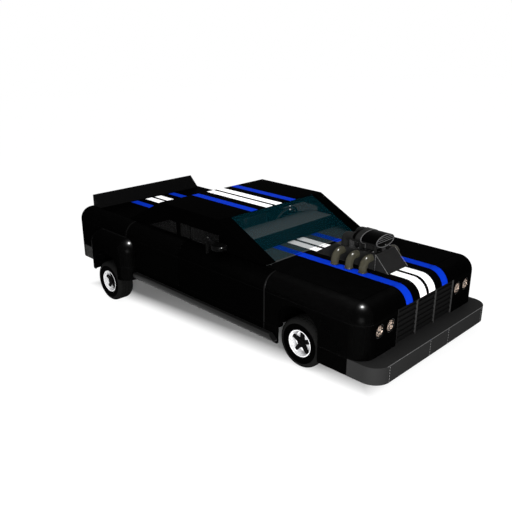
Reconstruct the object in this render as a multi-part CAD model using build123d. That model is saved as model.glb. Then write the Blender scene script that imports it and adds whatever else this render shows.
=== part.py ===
from build123d import *
import os
from math import atan, cos, degrees, radians, sin

# A full-size muscle car, drawn level in its own body frame and then set on its wheels.
# Body frame: x = 0 at the nose plane and forward, y = 0 on the centre line and to the left,
# z = 0 on the flat of the bonnet and boot lid. Millimetres throughout.
# Places along the car are given behind the nose plane, and drops below the flat of the bonnet.

# ---- outer body ----
BODY_HALF = 990.0           # half the width over the doors
SHOULDER = 165.0            # radius of the rounded shoulder, nose, tail and corners
SKIN = 25.0                 # folded panel edge as it shows at an opening
WALL_DEPTH = 495.0          # from the flat of the bonnet down to the sill and bumper line
SKIRT_DEPTH = 165.0         # sills and bumpers below that line
BUMPER_OUT = 165.0          # front bumper ahead of the nose plane
SHUT_GAP = 6.0              # gap round doors and lids
EDGE_ROUND = 9.0            # rounded edge of a door or lid about its hinge line
SEAT = 0.3                  # seating clearance of glass, lamps and trim
BEARING = 0.3               # running clearance of spindles, kingpins, pins and shafts
CUT = 1.0                   # how far a cut runs past the face it opens

# ---- places along the body ----
NOSE_SEAM = 165.0
WING_END = 1155.0
COWL_LINE = 1320.0
DASH_FACE = 1650.0
ROOF_FRONT = 1980.0
DOOR_END = 2475.0
POST_FRONT = 2640.0
ROOF_END = 2970.0
DECK_LINE = 3630.0
DECK_LENGTH = 990.0         # front edge of the boot lid to the tail plane
RAMP_RUN = 165.0            # length of the rear spoiler's slope

# ---- hinges of doors and lids ----
DOOR_PIN_R = 4.0
DOOR_PIN_RISE = 30.0
DOOR_PIN_ROOM = 3.0
DOOR_TAPER = 24.0           # how far the rear edge of a door is cut back at its inner face
LID_PIN_R = 3.0
LID_PIN_HALF = 16.0         # half the length of a lid's hinge pin
LUG_IN = 79.0               # hinge lugs of bonnet and boot lid inside the lids' side edges
LUG_HALF = 4.0
LUG_R = 8.0
SLOT_HALF = 9.5

# ---- cabin ----
GLASS_HALF = 660.0          # half the width of windscreen and rear window
ROOF_HEIGHT = 330.0
RAIL_HEIGHT = 160.0         # top edge of the side windows
ROOF_THICK = 40.0
PILLAR_DEPTH = 45.0
SIDE_WALL = 30.0            # wall of the cabin beside windscreen and rear window
GLASS = 5.0
GLASS_SET = 6.0             # windscreen below the pillars' outer face
REBATE = 15.0               # ledge that carries a fixed glass
REBATE_CUT = 90.0
GLASS_CLEAR = 60.0
DOOR_THICK = 200.0
GLASS_SWING = 18.0          # gap behind the door glass, for its swing
GLASS_EDGE_IN = 25.0        # rear edge of the door glass ahead of the door's
GLASS_IN = 16.0             # middle of the side glass inside the roof's side
QUARTER_WINDOW = ((2690.0, 6.0), (2690.0, 152.0), (2805.0, 157.0), (3245.0, 6.0))

# ---- lids and spoiler ----
LID_THICK = 28.0
SPOILER_RISE = 150.0

# ---- wheels ----
WHEEL_R = 247.5
TYRE_WIDTH = 205.0
TYRE_ROUND = 45.0
SIDEWALL_R = 196.0          # outer edge of the dished part of the sidewall
SIDEWALL_DISH = 7.0
RIM_R = 134.0
RIM_WALL = 8.0
RIM_SET = 8.0               # edge of the rim inside the tyre's face
RIM_BACK = 10.0
SPOKES = 5
SPOKE_SET = (36.0, 58.0)    # outer and inner face of the spokes inside the tyre's face
SPOKE_HUB = 24.0            # half width of a spoke at the hub and at the rim
SPOKE_TIP = 13.0
HUB_R = 40.0
HUB_SET = (22.0, 84.0)
DISC_R = 102.0              # brake disc
DISC_SET = (72.0, 84.0)
SPINDLE_R = 20.0
SPINDLE_SET = 40.0          # end of a spindle inside the tyre's face
FRONT_AXLE = 742.5
FRONT_AXLE_DROP = 582.5
FRONT_FACE_IN = 36.3        # outer face of a front tyre inside the body side
REAR_AXLE = 3712.5
REAR_AXLE_DROP = 765.6
REAR_FACE = 1128.6

# ---- front suspension ----
KINGPIN_IN = 115.7          # kingpin inside the tyre's outer face
KINGPIN_R = 9.0
ARM_RISE = 60.0             # arms above and below the axle line
ARM_THICK = 16.0
ARM_HALF = 17.0
ARM_EYE_R = 19.0
ARM_PLATE = 20.0            # thickness of the plate that joins the lower arm to the crossmember
KNUCKLE = (40.0, 36.0, 100.0)
CROSS_HALF = 60.0           # front crossmember, half its length along the car
CROSS_THICK = 30.0

# ---- rear axle ----
AXLE_R = 38.0
AXLE_HALF = 880.0
DIFF_R = 110.0
SHAFT_TUBE_R = 38.0
SHAFT_FRONT = 1900.0        # where the propeller shaft leaves the gearbox
SHAFT_DROP = 540.0
SHAFT_END = 80.0
SPRING_FRONT = 3200.0
SPRING_TAIL = 195.0         # rear eye of a spring ahead of the tail panel's seam
SPRING_Y = (520.0, 580.0)
SPRING_SEAT = 60.0
SPRING_THICK = 25.0
SPRING_HANG = 35.0
EYE_LENGTH = 30.0
TANK_HALF = 480.0
TANK_AHEAD = 140.0          # fuel tank behind the rear axle
TANK_TAIL = 105.0
TANK_DEEP = 60.0

# ---- wheel arches and housings ----
ARCH_HALF = 247.5
ARCH_R = 277.0
FRONT_ARCH_DROP = 475.0     # centre of the front arch's curve below the bonnet
REAR_ARCH_DROP = 640.0
FRONT_HOUSE_HALF = 289.0
FRONT_HOUSE_IN = 594.0
FRONT_HOUSE_DROP = 183.0
REAR_HOUSE_HALF = 266.0
REAR_HOUSE_IN = 897.0
REAR_HOUSE_DROP = 345.0
HOUSE_WALL = 12.0

# ---- rear flares ----
FLARE_HALF = 1155.0
FLARE_FRONT = 3300.0
FLARE_END = 4125.0
FLARE_TOP = 165.0
FLARE_SKIN = 18.0

# ---- floor and frame ----
FLOOR_THICK = 20.0
TUNNEL_HALF = 150.0
TUNNEL_TOP = 400.0
BOOT_FLOOR = 560.0
BULKHEAD = 3440.0
SHELF_FRONT = 3290.0
SILL_WIDE = 120.0
RAIL_IN = 502.0
RAIL_TOP = 500.0
FIREWALL = 20.0
HINGE_POST = 70.0           # hinge post in front of each door
POST_BACK = 1400.0

# ---- engine, gearbox and exhaust ----
ENGINE_X = (470.0, 1150.0)
ENGINE_HALF = 240.0
ENGINE_TOP = 90.0
GEARBOX_HALF = 105.0
GEARBOX_DROP = 20.0
GEARBOX_ROOM = 45.0         # gearbox below the top of the tunnel
PIPE_OUT = 60.0
PIPE_SET = 66.0             # side pipe below the sill line
PIPE_TALL = 66.0
PIPE_FRONT = 990.0
PIPE_END = 3290.0
PIPE_ROUND = 26.0
PIPE_TIP = (60.0, 50.0)
EXHAUST_R = 24.0
EXHAUST_X = 1099.0
EXHAUST_DROP = 470.0
EXHAUST_IN = 90.0           # down pipe inside the body side
EXHAUST_BEND = 30.0

# ---- cabin fittings ----
DASH_TOP = 150.0
DASH_BACK = 1990.0
DASH_LOW = 140.0
DASH_ROOM = 10.0            # ends of the dashboard clear of the doors
FACIA_FRONT = 1665.0        # upright front of the dashboard, under the windscreen
LEDGE_ROOM = 4.0
CONSOLE = (2140.0, 2640.0, 95.0, 80.0)      # front, rear, half width and height over the tunnel
COLUMN_LEAN = 22.0
WHEEL_CENTRE = (-2130.0, 370.0, 45.0)
STEER_R = 180.0
STEER_GRIP = 14.0
STEER_HUB = (35.0, 24.0, 8.0)
STEER_SPOKE = (30.0, 6.0)
STEER_SPOKES = (90, 210, 330)
COLUMN_R = 25.0
COLUMN_TUBE = (100.0, 150.0)
COLUMN_BORE = (80.0, 120.0)
SHAFT_R = 12.0
SHAFT = (75.0, 120.0)
SEAT_Y = 405.0
SEAT_HALF = 250.0
SEAT_FEET = (2160.0, 2680.0)
SEAT_SIDE = ((2130.0, -350.0), (2560.0, -380.0), (2700.0, 120.0), (2830.0, 120.0))
REST_SIDE = ((2725.0, 120.0), (2760.0, 245.0), (2850.0, 245.0), (2815.0, 120.0))
REST_HALF = 130.0
BENCH_FEET = (2960.0, 3430.0)
BENCH_SIDE = ((2940.0, -360.0), (3270.0, -390.0), (3370.0, -60.0), (3430.0, -60.0))
BENCH_ROOM = 90.0           # rear seat clear of the body's inner side

# ---- nose and grille ----
GRILLE_HALF = 495.0
GRILLE_TOP = 140.0
GRILLE_POSTS = (165.0, 491.0)
GRILLE_PLATE = 10.0
POST_WIDE = 8.0
POST_DEEP = 22.0
KNOB_R = 9.0
KNOB_TALL = 16.0
SLATS = 6
SLAT_HALF = 7.0
SLAT_DEEP = 14.0
LAMP_Y = (590.0, 755.0)
LAMP_DROP = 262.0
LAMP_R = 68.0
LAMP_SET = 33.0
LAMP_BACK = 43.0
LAMP_RIM = 7.0

# ---- tail ----
TAIL_LAMP = (380.0, 800.0, 215.0, 335.0)    # inner y, outer y, top and bottom drop
TAIL_LAMP_THICK = 14.0
LENS_SET = 2.0
LENS_GAP = 8.0
LENSES = 3
PLATE_R = 3.5
PLATE_Y = 88.9
PLATE_DROP = 275.0
TOW_FRONT = 70.0            # tow plate ahead of the nose plane
TOW_TAIL = 95.0             # tow plate ahead of the tail plane
TOW_HALF = 45.0
TOW_THICK = 20.0
TOW_RISE = 40.0             # tow plates above the lower edge of the body
TOW_R = 15.0
TOW_ARM = 12.0

# ---- blower and scoop on the bonnet ----
PLINTH_HALF = 162.0
PLINTH_RISE = 160.0
PLINTH_X = (340.0, 495.0, 985.0, 1235.0)    # toe, front top, rear top and heel
ELBOW_X = (548.0, 710.0, 883.0)
ELBOW_R = 40.0
ELBOW_Y = 280.0
ELBOW_BEND = 80.0
ELBOW_RISE = 116.0
ELBOW_IN = 20.0
SCOOP_X = (500.0, 780.0)
SCOOP_HALF = 150.0
SCOOP_RISE = 62.0
SCOOP_Z = 262.0
SCOOP_WALL = 8.0
SCOOP_MOUTH = 70.0
SCOOP_SLATS = (-4.0, 15.0, 34.0)
SLAT_RISE = 3.0
SLAT_RUN = 42.0
STRAP_X = (680.0, 745.0)
STRAP_THICK = 5.0
THROAT = (580.0, 750.0, 72.0)
CLAMP_X = (540.0, 712.0)
CLAMP_HALF = 9.0
CLAMP_OUT = 116.0
CLAMP_IN = 92.0
CLAMP_TOP = 228.0
CLAMP_ARCH = 188.0
FOOT = (146.0, 15.0, 8.0)
INTAKE_R = 40.0
INTAKE_X = 895.0
INTAKE_Y = 108.0
INTAKE_BEND = 50.0
INTAKE_IN = 30.0
COLLAR_R = 46.0
COLLAR = (780.0, 800.0)

# ---- door mirrors ----
MIRROR_X = 2070.0
MIRROR_OUT = 82.0           # mirror stalk outside the roof's side
STALK_R = 20.0
STALK_TOP = 125.0
BALL_R = 25.0
HEAD_X = 1865.0
HEAD_OUT = 98.0             # middle of the mirror's head outside the roof's side
HEAD_Z = 84.0
HEAD_R = 90.0
HEAD_THICK = 50.0
HEAD_ROUND = 22.0
HEAD_ARM_R = 13.0

# ---- worked out ----
BODY_LENGTH = DECK_LINE + DECK_LENGTH
CABIN_HALF = BODY_HALF - SHOULDER           # half the width of roof, bonnet and boot lid
DOOR_INNER = BODY_HALF - DOOR_THICK
POST_IN = DOOR_INNER - HINGE_POST
GLASS_EDGE = DOOR_END - GLASS_EDGE_IN
GLASS_LINE = CABIN_HALF - GLASS_IN
LUG_Y = CABIN_HALF - LUG_IN
MIRROR_Y = CABIN_HALF + MIRROR_OUT
HEAD_Y = CABIN_HALF + HEAD_OUT
SILL_INNER = BODY_HALF - SILL_WIDE
EXHAUST_Y = BODY_HALF - EXHAUST_IN
BENCH_HALF = DOOR_INNER - BENCH_ROOM
FRONT_FACE = BODY_HALF - FRONT_FACE_IN
KINGPIN_Y = FRONT_FACE - KINGPIN_IN
BODY_DEPTH = WALL_DEPTH + SKIRT_DEPTH
PIPE_TOP = WALL_DEPTH + PIPE_SET
PIPE_LOW = PIPE_TOP + PIPE_TALL
TOW_DROP = BODY_DEPTH - TOW_RISE
DECK_END = BODY_LENGTH - SHOULDER
WING_RAMP = DECK_END - RAMP_RUN
AWAY = FLARE_HALF + SHOULDER
TUBE_IN = RIM_R - RIM_WALL
half_gap = SHUT_GAP / 2
floor_low = -BODY_DEPTH + FLOOR_THICK
floor_top = floor_low + FLOOR_THICK
RAKE = atan((REAR_AXLE_DROP - FRONT_AXLE_DROP) / (REAR_AXLE - FRONT_AXLE))
FRONT_TIP = BUMPER_OUT * cos(RAKE) - WALL_DEPTH * sin(RAKE)
REAR_TIP = -BODY_LENGTH * cos(RAKE) - BODY_DEPTH * sin(RAKE)
GROUND = WHEEL_R + FRONT_AXLE_DROP * cos(RAKE) - FRONT_AXLE * sin(RAKE)
STANCE = Pos(-(FRONT_TIP + REAR_TIP) / 2, 0, GROUND) * Rot(0, degrees(RAKE), 0)
column = Plane(origin=WHEEL_CENTRE, z_dir=(-cos(radians(COLUMN_LEAN)), 0, sin(radians(COLUMN_LEAN))))

pieces = {}


def span(x, y, z):
    """A box between two values on each axis."""
    size = [abs(b - a) for a, b in (x, y, z)]
    middle = [(a + b) / 2 for a, b in (x, y, z)]
    return Pos(*middle) * Box(*size)


def twin(shape):
    """The same piece on the other side of the car."""
    return mirror(shape, about=Plane.XZ)


def both(shape):
    """The shape and its twin across the centre line."""
    return shape + twin(shape)


def side_form(points, y0, y1):
    """A solid between y0 and y1 whose side view is the given x, z outline."""
    face = make_face(Polyline(*[(x, y0, z) for x, z in points], close=True))
    return extrude(face, amount=y1 - y0, dir=(0, 1, 0))


def barrel(radius, y0, y1, x, z):
    """A cylinder across the car."""
    return Pos(x, (y0 + y1) / 2, z) * Rot(90, 0, 0) * Cylinder(radius, abs(y1 - y0))


def rounded_form(length0, length1, half, top, bottom, inset):
    """A closed body form with rounded top and upright corners, set in by a wall."""
    form = span((-length1 + inset, -length0 - inset), (-half + inset, half - inset),
                (-bottom - SHOULDER, -top - inset))
    uprights = form.edges().filter_by(Axis.Z)
    rim = form.faces().sort_by(Axis.Z)[-1].edges()
    form = fillet(list(uprights) + list(rim), SHOULDER - inset)
    return form & span((-BODY_LENGTH, 0), (-FLARE_HALF, FLARE_HALF), (-bottom, 0))


def arch_cutter(axle, drop, y0, y1):
    """The opening of a wheel arch: an arc between two upright edges."""
    disc = barrel(ARCH_R, y0, y1, -axle, -drop)
    slot = span((-axle - ARCH_HALF, -axle + ARCH_HALF), (y0, y1), (-drop, -drop + ARCH_R))
    leg = span((-axle - ARCH_HALF, -axle + ARCH_HALF), (y0, y1), (-BODY_DEPTH - SHOULDER, -drop))
    return (disc & slot) + leg


outer_form = rounded_form(0, BODY_LENGTH, BODY_HALF, 0, BODY_DEPTH, 0)
inner_form = rounded_form(0, BODY_LENGTH, BODY_HALF, 0, BODY_DEPTH, SKIN)
body_shell = outer_form - inner_form
flare_outer = rounded_form(FLARE_FRONT, FLARE_END, FLARE_HALF, FLARE_TOP, BODY_DEPTH, 0)
flare_inner = rounded_form(FLARE_FRONT, FLARE_END, FLARE_HALF, FLARE_TOP, BODY_DEPTH, FLARE_SKIN)


# ---- sides of the body, drawn on the left ----
def make_wing():
    """Front wing: skin, rounded shoulder, arch and the wheel housing behind it."""
    skin = body_shell & span((-WING_END + half_gap, -NOSE_SEAM), (CABIN_HALF, AWAY), (-BODY_DEPTH, 0))
    skin = skin - arch_cutter(FRONT_AXLE, FRONT_ARCH_DROP, FRONT_HOUSE_IN, AWAY)
    reach = FRONT_HOUSE_HALF + HOUSE_WALL
    house = span((-FRONT_AXLE - reach, -FRONT_AXLE + reach),
                 (FRONT_HOUSE_IN - HOUSE_WALL, BODY_HALF - SKIN),
                 (-RAIL_TOP, -FRONT_HOUSE_DROP + HOUSE_WALL))
    house = house - span((-FRONT_AXLE - FRONT_HOUSE_HALF, -FRONT_AXLE + FRONT_HOUSE_HALF),
                         (FRONT_HOUSE_IN, AWAY), (-BODY_DEPTH, -FRONT_HOUSE_DROP))
    pipe_hole = barrel(EXHAUST_R + SEAT, BODY_HALF - SHOULDER, AWAY, -EXHAUST_X, -(PIPE_TOP + PIPE_LOW) / 2)
    return skin + (house & inner_form) - pipe_hole


def door_pin(radius, rise):
    """Hinge pin of the left door, standing on the sill."""
    x = -WING_END - half_gap - EDGE_ROUND
    return Pos(x, BODY_HALF - EDGE_ROUND, -WALL_DEPTH + rise / 2) * Cylinder(radius, rise)


def door_taper(rear):
    """What is cut off the rear edge of the door, from nothing at the skin to most inside."""
    points = [(rear - CUT, BODY_HALF), (rear, BODY_HALF), (rear + DOOR_TAPER, DOOR_INNER),
              (rear - CUT, DOOR_INNER)]
    face = make_face(Polyline(*[(x, y, -BODY_DEPTH) for x, y in points], close=True))
    return extrude(face, amount=2 * BODY_DEPTH, dir=(0, 0, 1))


def make_door():
    """Door: as thick as the whole wall, with its rear edge cut back to swing clear."""
    front = -WING_END - half_gap
    rear = -DOOR_END + half_gap
    block = span((rear, front), (DOOR_INNER, AWAY), (-WALL_DEPTH + SHUT_GAP, 0))
    door = outer_form & block
    upright = door.edges().filter_by(Axis.Z).group_by(Axis.X)[-1].sort_by(Axis.Y)[-1]
    door = fillet(upright, EDGE_ROUND)
    notch = span((-COWL_LINE - SHUT_GAP, 0), (0, CABIN_HALF), (-LID_THICK - SHUT_GAP, CUT))
    return door - notch - door_taper(rear) - door_pin(DOOR_PIN_R + BEARING, DOOR_PIN_RISE + DOOR_PIN_ROOM)


def make_quarter():
    """Quarter panel: full wall beside the rear seat, then skin, flare, arch and wheel housing."""
    front = -DOOR_END - half_gap
    wall = outer_form & span((-FLARE_FRONT, front), (DOOR_INNER, AWAY), (-WALL_DEPTH, 0))
    skin = body_shell & span((-DECK_END, front), (CABIN_HALF, AWAY), (-WALL_DEPTH, 0))
    lower = body_shell & span((-DECK_END, -FLARE_FRONT), (CABIN_HALF, AWAY), (-BODY_DEPTH, -WALL_DEPTH))
    side = span((-BODY_LENGTH, 0), (BODY_HALF - SKIN, AWAY), (-BODY_DEPTH, 0))
    flare = (flare_outer - flare_inner) & side
    reach = REAR_HOUSE_HALF + HOUSE_WALL
    house = span((-REAR_AXLE - reach, -REAR_AXLE + reach),
                 (REAR_HOUSE_IN - HOUSE_WALL, FLARE_HALF - FLARE_SKIN),
                 (-BODY_DEPTH, -REAR_HOUSE_DROP + HOUSE_WALL))
    bay = span((-REAR_AXLE - REAR_HOUSE_HALF, -REAR_AXLE + REAR_HOUSE_HALF),
               (REAR_HOUSE_IN, FLARE_HALF - FLARE_SKIN), (-BODY_DEPTH - CUT, -REAR_HOUSE_DROP))
    panel = wall + skin + lower + flare + (house & (inner_form + (flare_inner & side)))
    return panel - bay - arch_cutter(REAR_AXLE, REAR_ARCH_DROP, REAR_HOUSE_IN, AWAY)


# ---- nose, tail and bumpers ----
def make_nose():
    """Front panel with the grille opening and four round lamp holes."""
    panel = body_shell & span((-NOSE_SEAM, 0), (-AWAY, AWAY), (-WALL_DEPTH, 0))
    panel = panel - span((-SKIN - CUT, CUT), (-GRILLE_HALF, GRILLE_HALF), (-WALL_DEPTH, -GRILLE_TOP))
    for y in LAMP_Y:
        hole = Pos(-SKIN / 2, y, -LAMP_DROP) * Rot(0, 90, 0) * Cylinder(LAMP_R + SEAT, 3 * SKIN)
        panel = panel - both(hole)
    return panel


def make_grille(nose):
    """Slatted grille on a back plate, in three bays between posts with round ends."""
    low = -WALL_DEPTH + CUT
    high = -GRILLE_TOP - CUT
    half = GRILLE_HALF - CUT
    grille = span((-SKIN - GRILLE_PLATE, -SKIN), (-half, half), (low, high))
    pitch = (high - low) / (SLATS + 1)
    for i in range(SLATS):
        z = high - pitch * (i + 1)
        grille = grille + span((-SKIN, -SKIN + SLAT_DEEP), (-half, half), (z - SLAT_HALF, z + SLAT_HALF))
    for y in GRILLE_POSTS:
        post = span((-SKIN, -SKIN + POST_DEEP), (y - POST_WIDE / 2, y + POST_WIDE / 2), (low, high))
        if y + KNOB_R < half:
            for z in (low + KNOB_TALL / 2, high - KNOB_TALL / 2):
                post = post + Pos(-SKIN + POST_DEEP - KNOB_R, y, z) * Cylinder(KNOB_R, KNOB_TALL)
        grille = grille + both(post)
    return grille - nose


def make_headlamps():
    """Four round lamps, each a bowl behind a flat rim, set in their holes."""
    lamps = []
    for y in (*LAMP_Y, *[-v for v in LAMP_Y]):
        place = Pos(0, y, -LAMP_DROP) * Rot(0, 90, 0)
        bowl = place * Pos(0, 0, -LAMP_BACK) * Cylinder(LAMP_R, 2 * LAMP_SET)
        bowl = bowl - place * Pos(0, 0, -LAMP_SET / 2) * Cylinder(LAMP_R - LAMP_RIM, LAMP_SET)
        lamps.append(bowl)
    return Compound(children=lamps)


def make_tail():
    """Tail panel with a pocket for each lamp and two plate screw holes."""
    panel = body_shell & span((-BODY_LENGTH, -DECK_END), (-AWAY, AWAY), (-WALL_DEPTH, 0))
    y0, y1, z0, z1 = TAIL_LAMP
    pocket = span((-BODY_LENGTH - CUT, -BODY_LENGTH + TAIL_LAMP_THICK), (y0, y1), (-z1, -z0))
    hole = Pos(-BODY_LENGTH, PLATE_Y, -PLATE_DROP) * Rot(0, 90, 0) * Cylinder(PLATE_R, 3 * SKIN)
    return panel - both(hole) - both(pocket)


def make_tail_lamps():
    """Tail lamps: a base in each pocket with upright lens bars proud of it."""
    y0, y1, z0, z1 = TAIL_LAMP
    back = -BODY_LENGTH + TAIL_LAMP_THICK
    lamp = span((-BODY_LENGTH + LENS_GAP, back), (y0 + SEAT, y1 - SEAT), (-z1 + SEAT, -z0 - SEAT))
    wide = (y1 - y0 - LENS_GAP) / LENSES
    for i in range(LENSES):
        start = y0 + LENS_GAP + wide * i
        lamp = lamp + span((-BODY_LENGTH + LENS_SET, back), (start, start + wide - LENS_GAP),
                           (-z1 + LENS_GAP, -z0 - LENS_GAP))
    return both(lamp)


def bumper_block(inset):
    """Plan outline of the front bumper, set in by a wall."""
    block = span((-3 * NOSE_SEAM, BUMPER_OUT - inset), (-BODY_HALF + inset, BODY_HALF - inset),
                 (-BODY_DEPTH, -WALL_DEPTH - inset))
    corners = block.edges().filter_by(Axis.Z).group_by(Axis.X)[-1]
    block = fillet(list(corners), SHOULDER - inset)
    return block & span((-NOSE_SEAM, 2 * BUMPER_OUT), (-AWAY, AWAY), (-BODY_DEPTH, 0))


def tow_plate(x, top):
    """Towing eye: a level plate with an upright pin hole, hung from a bumper by two arms."""
    plate = span((x - TOW_HALF, x + TOW_HALF), (-TOW_HALF, TOW_HALF),
                 (-TOW_DROP - TOW_THICK / 2, -TOW_DROP + TOW_THICK / 2))
    arm = span((x - TOW_HALF, x + TOW_HALF), (TOW_HALF - TOW_ARM, TOW_HALF), (-TOW_DROP, top))
    return plate + both(arm) - Pos(x, 0, -TOW_DROP) * Cylinder(TOW_R, 3 * TOW_THICK)


def make_bumpers():
    """Front and rear bumper, each a folded shell open below, and their tow plates."""
    front = bumper_block(0) - bumper_block(SKIN)
    rear = body_shell & span((-BODY_LENGTH, -DECK_END), (-AWAY, AWAY), (-BODY_DEPTH, -WALL_DEPTH))
    flange = inner_form & span((-BODY_LENGTH, -DECK_END), (-AWAY, AWAY), (-WALL_DEPTH - SKIN, -WALL_DEPTH))
    under = -WALL_DEPTH - SKIN
    tows = [tow_plate(TOW_FRONT, under), tow_plate(-BODY_LENGTH + TOW_TAIL, under)]
    return Compound(children=[front, rear + flange, *tows])


# ---- roof and glass ----
pitch_front = ROOF_HEIGHT / (ROOF_FRONT - COWL_LINE)
pitch_rear = ROOF_HEIGHT / (DECK_LINE - ROOF_END)
glass_low = GLASS_SET + GLASS / cos(atan(pitch_front))


def slope(front, x):
    """Height of the outer face of windscreen or rear window at a place along the car."""
    if front:
        return (-x - COWL_LINE) * pitch_front
    return (DECK_LINE + x) * pitch_rear


def sloped_slab(front, upper, lower, x0, x1, half):
    """A slab that follows the slope, between two depths under its outer face."""
    points = [(x0, slope(front, x0) - upper), (x1, slope(front, x1) - upper),
              (x1, slope(front, x1) - lower), (x0, slope(front, x0) - lower)]
    return side_form(points, -half, half)


def quarter_opening():
    """The triangular quarter window's opening through the cabin's side wall."""
    points = [(-x, z) for x, z in QUARTER_WINDOW]
    return side_form(points, CABIN_HALF - SIDE_WALL - CUT, CABIN_HALF + CUT)


def quarter_pane():
    """The pane in the quarter window."""
    y = GLASS_LINE - GLASS / 2
    face = make_face(Polyline(*[(-x, y, z) for x, z in QUARTER_WINDOW], close=True))
    return extrude(offset(face, -SEAT), amount=GLASS, dir=(0, 1, 0))


def make_roof():
    """Roof, side rails, screen pillars and the sloped rear pillars as one shell."""
    outline = [(-COWL_LINE, 0), (-ROOF_FRONT, ROOF_HEIGHT), (-ROOF_END, ROOF_HEIGHT), (-DECK_LINE, 0)]
    shell = side_form(outline, -CABIN_HALF, CABIN_HALF)
    foot = PILLAR_DEPTH / pitch_front
    lean = (PILLAR_DEPTH - ROOF_THICK) / pitch_front
    inside = [(-COWL_LINE - foot, -CUT), (-COWL_LINE - foot, 0),
              (-ROOF_FRONT - lean, ROOF_HEIGHT - ROOF_THICK),
              (-ROOF_END + lean, ROOF_HEIGHT - ROOF_THICK),
              (-DECK_LINE + foot, 0), (-DECK_LINE + foot, -CUT)]
    wall = CABIN_HALF - SIDE_WALL
    shell = shell - side_form(inside, -wall, wall)
    for front, low, high in ((True, -COWL_LINE, -ROOF_FRONT), (False, -DECK_LINE, -ROOF_END)):
        past = 1 if front else -1
        shell = shell - sloped_slab(front, -GLASS_CLEAR, glass_low + SEAT, low + past * CUT,
                                    high + past * 2 * CUT, GLASS_HALF)
        shell = shell - sloped_slab(front, -GLASS_CLEAR, REBATE_CUT, low + past * CUT,
                                    high + past * REBATE, GLASS_HALF - REBATE)
    door_top = span((-DOOR_END - half_gap, 0), (DOOR_INNER - SHUT_GAP, AWAY), (-CUT, SHUT_GAP))
    side_window = span((-POST_FRONT, -ROOF_FRONT), (GLASS_HALF, AWAY), (SHUT_GAP, RAIL_HEIGHT))
    return shell - both(door_top) - both(side_window) - both(quarter_opening())


def make_windscreen():
    return sloped_slab(True, GLASS_SET, glass_low, -COWL_LINE - 2 * glass_low,
                       -ROOF_FRONT + 2 * CUT + SEAT, GLASS_HALF - SEAT)


def make_rear_glass():
    """Rear window, the two quarter windows and the fixed panes behind the doors."""
    rear = sloped_slab(False, GLASS_SET, glass_low, -DECK_LINE + 2 * glass_low,
                       -ROOF_END - 2 * CUT - SEAT, GLASS_HALF - SEAT)
    pane = span((-POST_FRONT + SEAT, -GLASS_EDGE - GLASS_SWING),
                (GLASS_LINE - GLASS / 2, GLASS_LINE + GLASS / 2), (SHUT_GAP + SEAT, RAIL_HEIGHT - SEAT))
    return rear + both(pane) + both(quarter_pane())


def make_door_glass():
    return span((-GLASS_EDGE, -ROOF_FRONT - SHUT_GAP), (GLASS_LINE - GLASS / 2, GLASS_LINE + GLASS / 2),
                (0, RAIL_HEIGHT - SHUT_GAP))


def make_mirror():
    """Door mirror: a stalk on the shoulder, with a rounded head carried ahead of it."""
    stalk = Pos(-MIRROR_X, MIRROR_Y, 0) * Cylinder(STALK_R, 2 * STALK_TOP)
    ball = Pos(-MIRROR_X, MIRROR_Y, STALK_TOP) * Sphere(BALL_R)
    head = Pos(-HEAD_X, HEAD_Y, HEAD_Z) * fillet(Cylinder(HEAD_R, HEAD_THICK).edges(), HEAD_ROUND)
    foot, tip = Vector(-MIRROR_X, MIRROR_Y, STALK_TOP), Vector(-HEAD_X, HEAD_Y, HEAD_Z)
    arm = Plane(origin=(foot + tip) * 0.5, z_dir=tip - foot) * Cylinder(HEAD_ARM_R, (tip - foot).length)
    return (stalk + ball + arm + head) - outer_form


# ---- lids and what they carry ----
def lid_hinge(edge, ahead):
    """Fixed lug and pin of a lid that turns just ahead of (1) or behind (-1) a panel edge."""
    x = edge + ahead * (SHUT_GAP + EDGE_ROUND)
    lug = barrel(LUG_R, LUG_Y - LUG_HALF, LUG_Y + LUG_HALF, x, -EDGE_ROUND)
    lug = lug + span((edge, x), (LUG_Y - LUG_HALF, LUG_Y + LUG_HALF),
                     (-EDGE_ROUND - LUG_R, -EDGE_ROUND + LUG_R))
    return both(lug + barrel(LID_PIN_R, LUG_Y - LID_PIN_HALF, LUG_Y + LID_PIN_HALF, x, -EDGE_ROUND))


def lid_slots(edge, ahead):
    """What the hinge takes out of its lid."""
    x = edge + ahead * (SHUT_GAP + EDGE_ROUND)
    slot = span((x - ahead * 2 * EDGE_ROUND, x + ahead * (LUG_R + SHUT_GAP)),
                (LUG_Y - SLOT_HALF, LUG_Y + SLOT_HALF), (-LID_THICK - CUT, CUT))
    bore = barrel(LID_PIN_R + BEARING, LUG_Y - LID_PIN_HALF - CUT, LUG_Y + LID_PIN_HALF + CUT, x,
                  -EDGE_ROUND)
    return both(slot + bore)


def lid(edge, ahead, far):
    """A flat lid that turns beside a panel edge, rounded about its hinge line."""
    near = edge + ahead * SHUT_GAP
    plate = span((near, far), (-CABIN_HALF + SHUT_GAP, CABIN_HALF - SHUT_GAP), (-LID_THICK, 0))
    across = plate.edges().filter_by(Axis.Y)
    turned = across.sort_by(lambda e: abs(e.center().X - near) - e.center().Z)[0]
    return fillet(turned, EDGE_ROUND) - lid_slots(edge, ahead)


def make_blower():
    """Blower housing on the bonnet, with three elbow pipes into each side."""
    toe, front, back, heel = PLINTH_X
    body = side_form([(-toe, 0), (-front, PLINTH_RISE), (-back, PLINTH_RISE), (-heel, 0)],
                     -PLINTH_HALF, PLINTH_HALF)
    for x in ELBOW_X:
        path = FilletPolyline((-x, ELBOW_Y, 0), (-x, ELBOW_Y, ELBOW_RISE),
                              (-x, PLINTH_HALF - ELBOW_IN, ELBOW_RISE), radius=ELBOW_BEND)
        foot = Plane(origin=(-x, ELBOW_Y, 0), z_dir=(0, 0, 1))
        body = body + both(sweep(foot * Circle(ELBOW_R), path=path))
    return body


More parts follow.
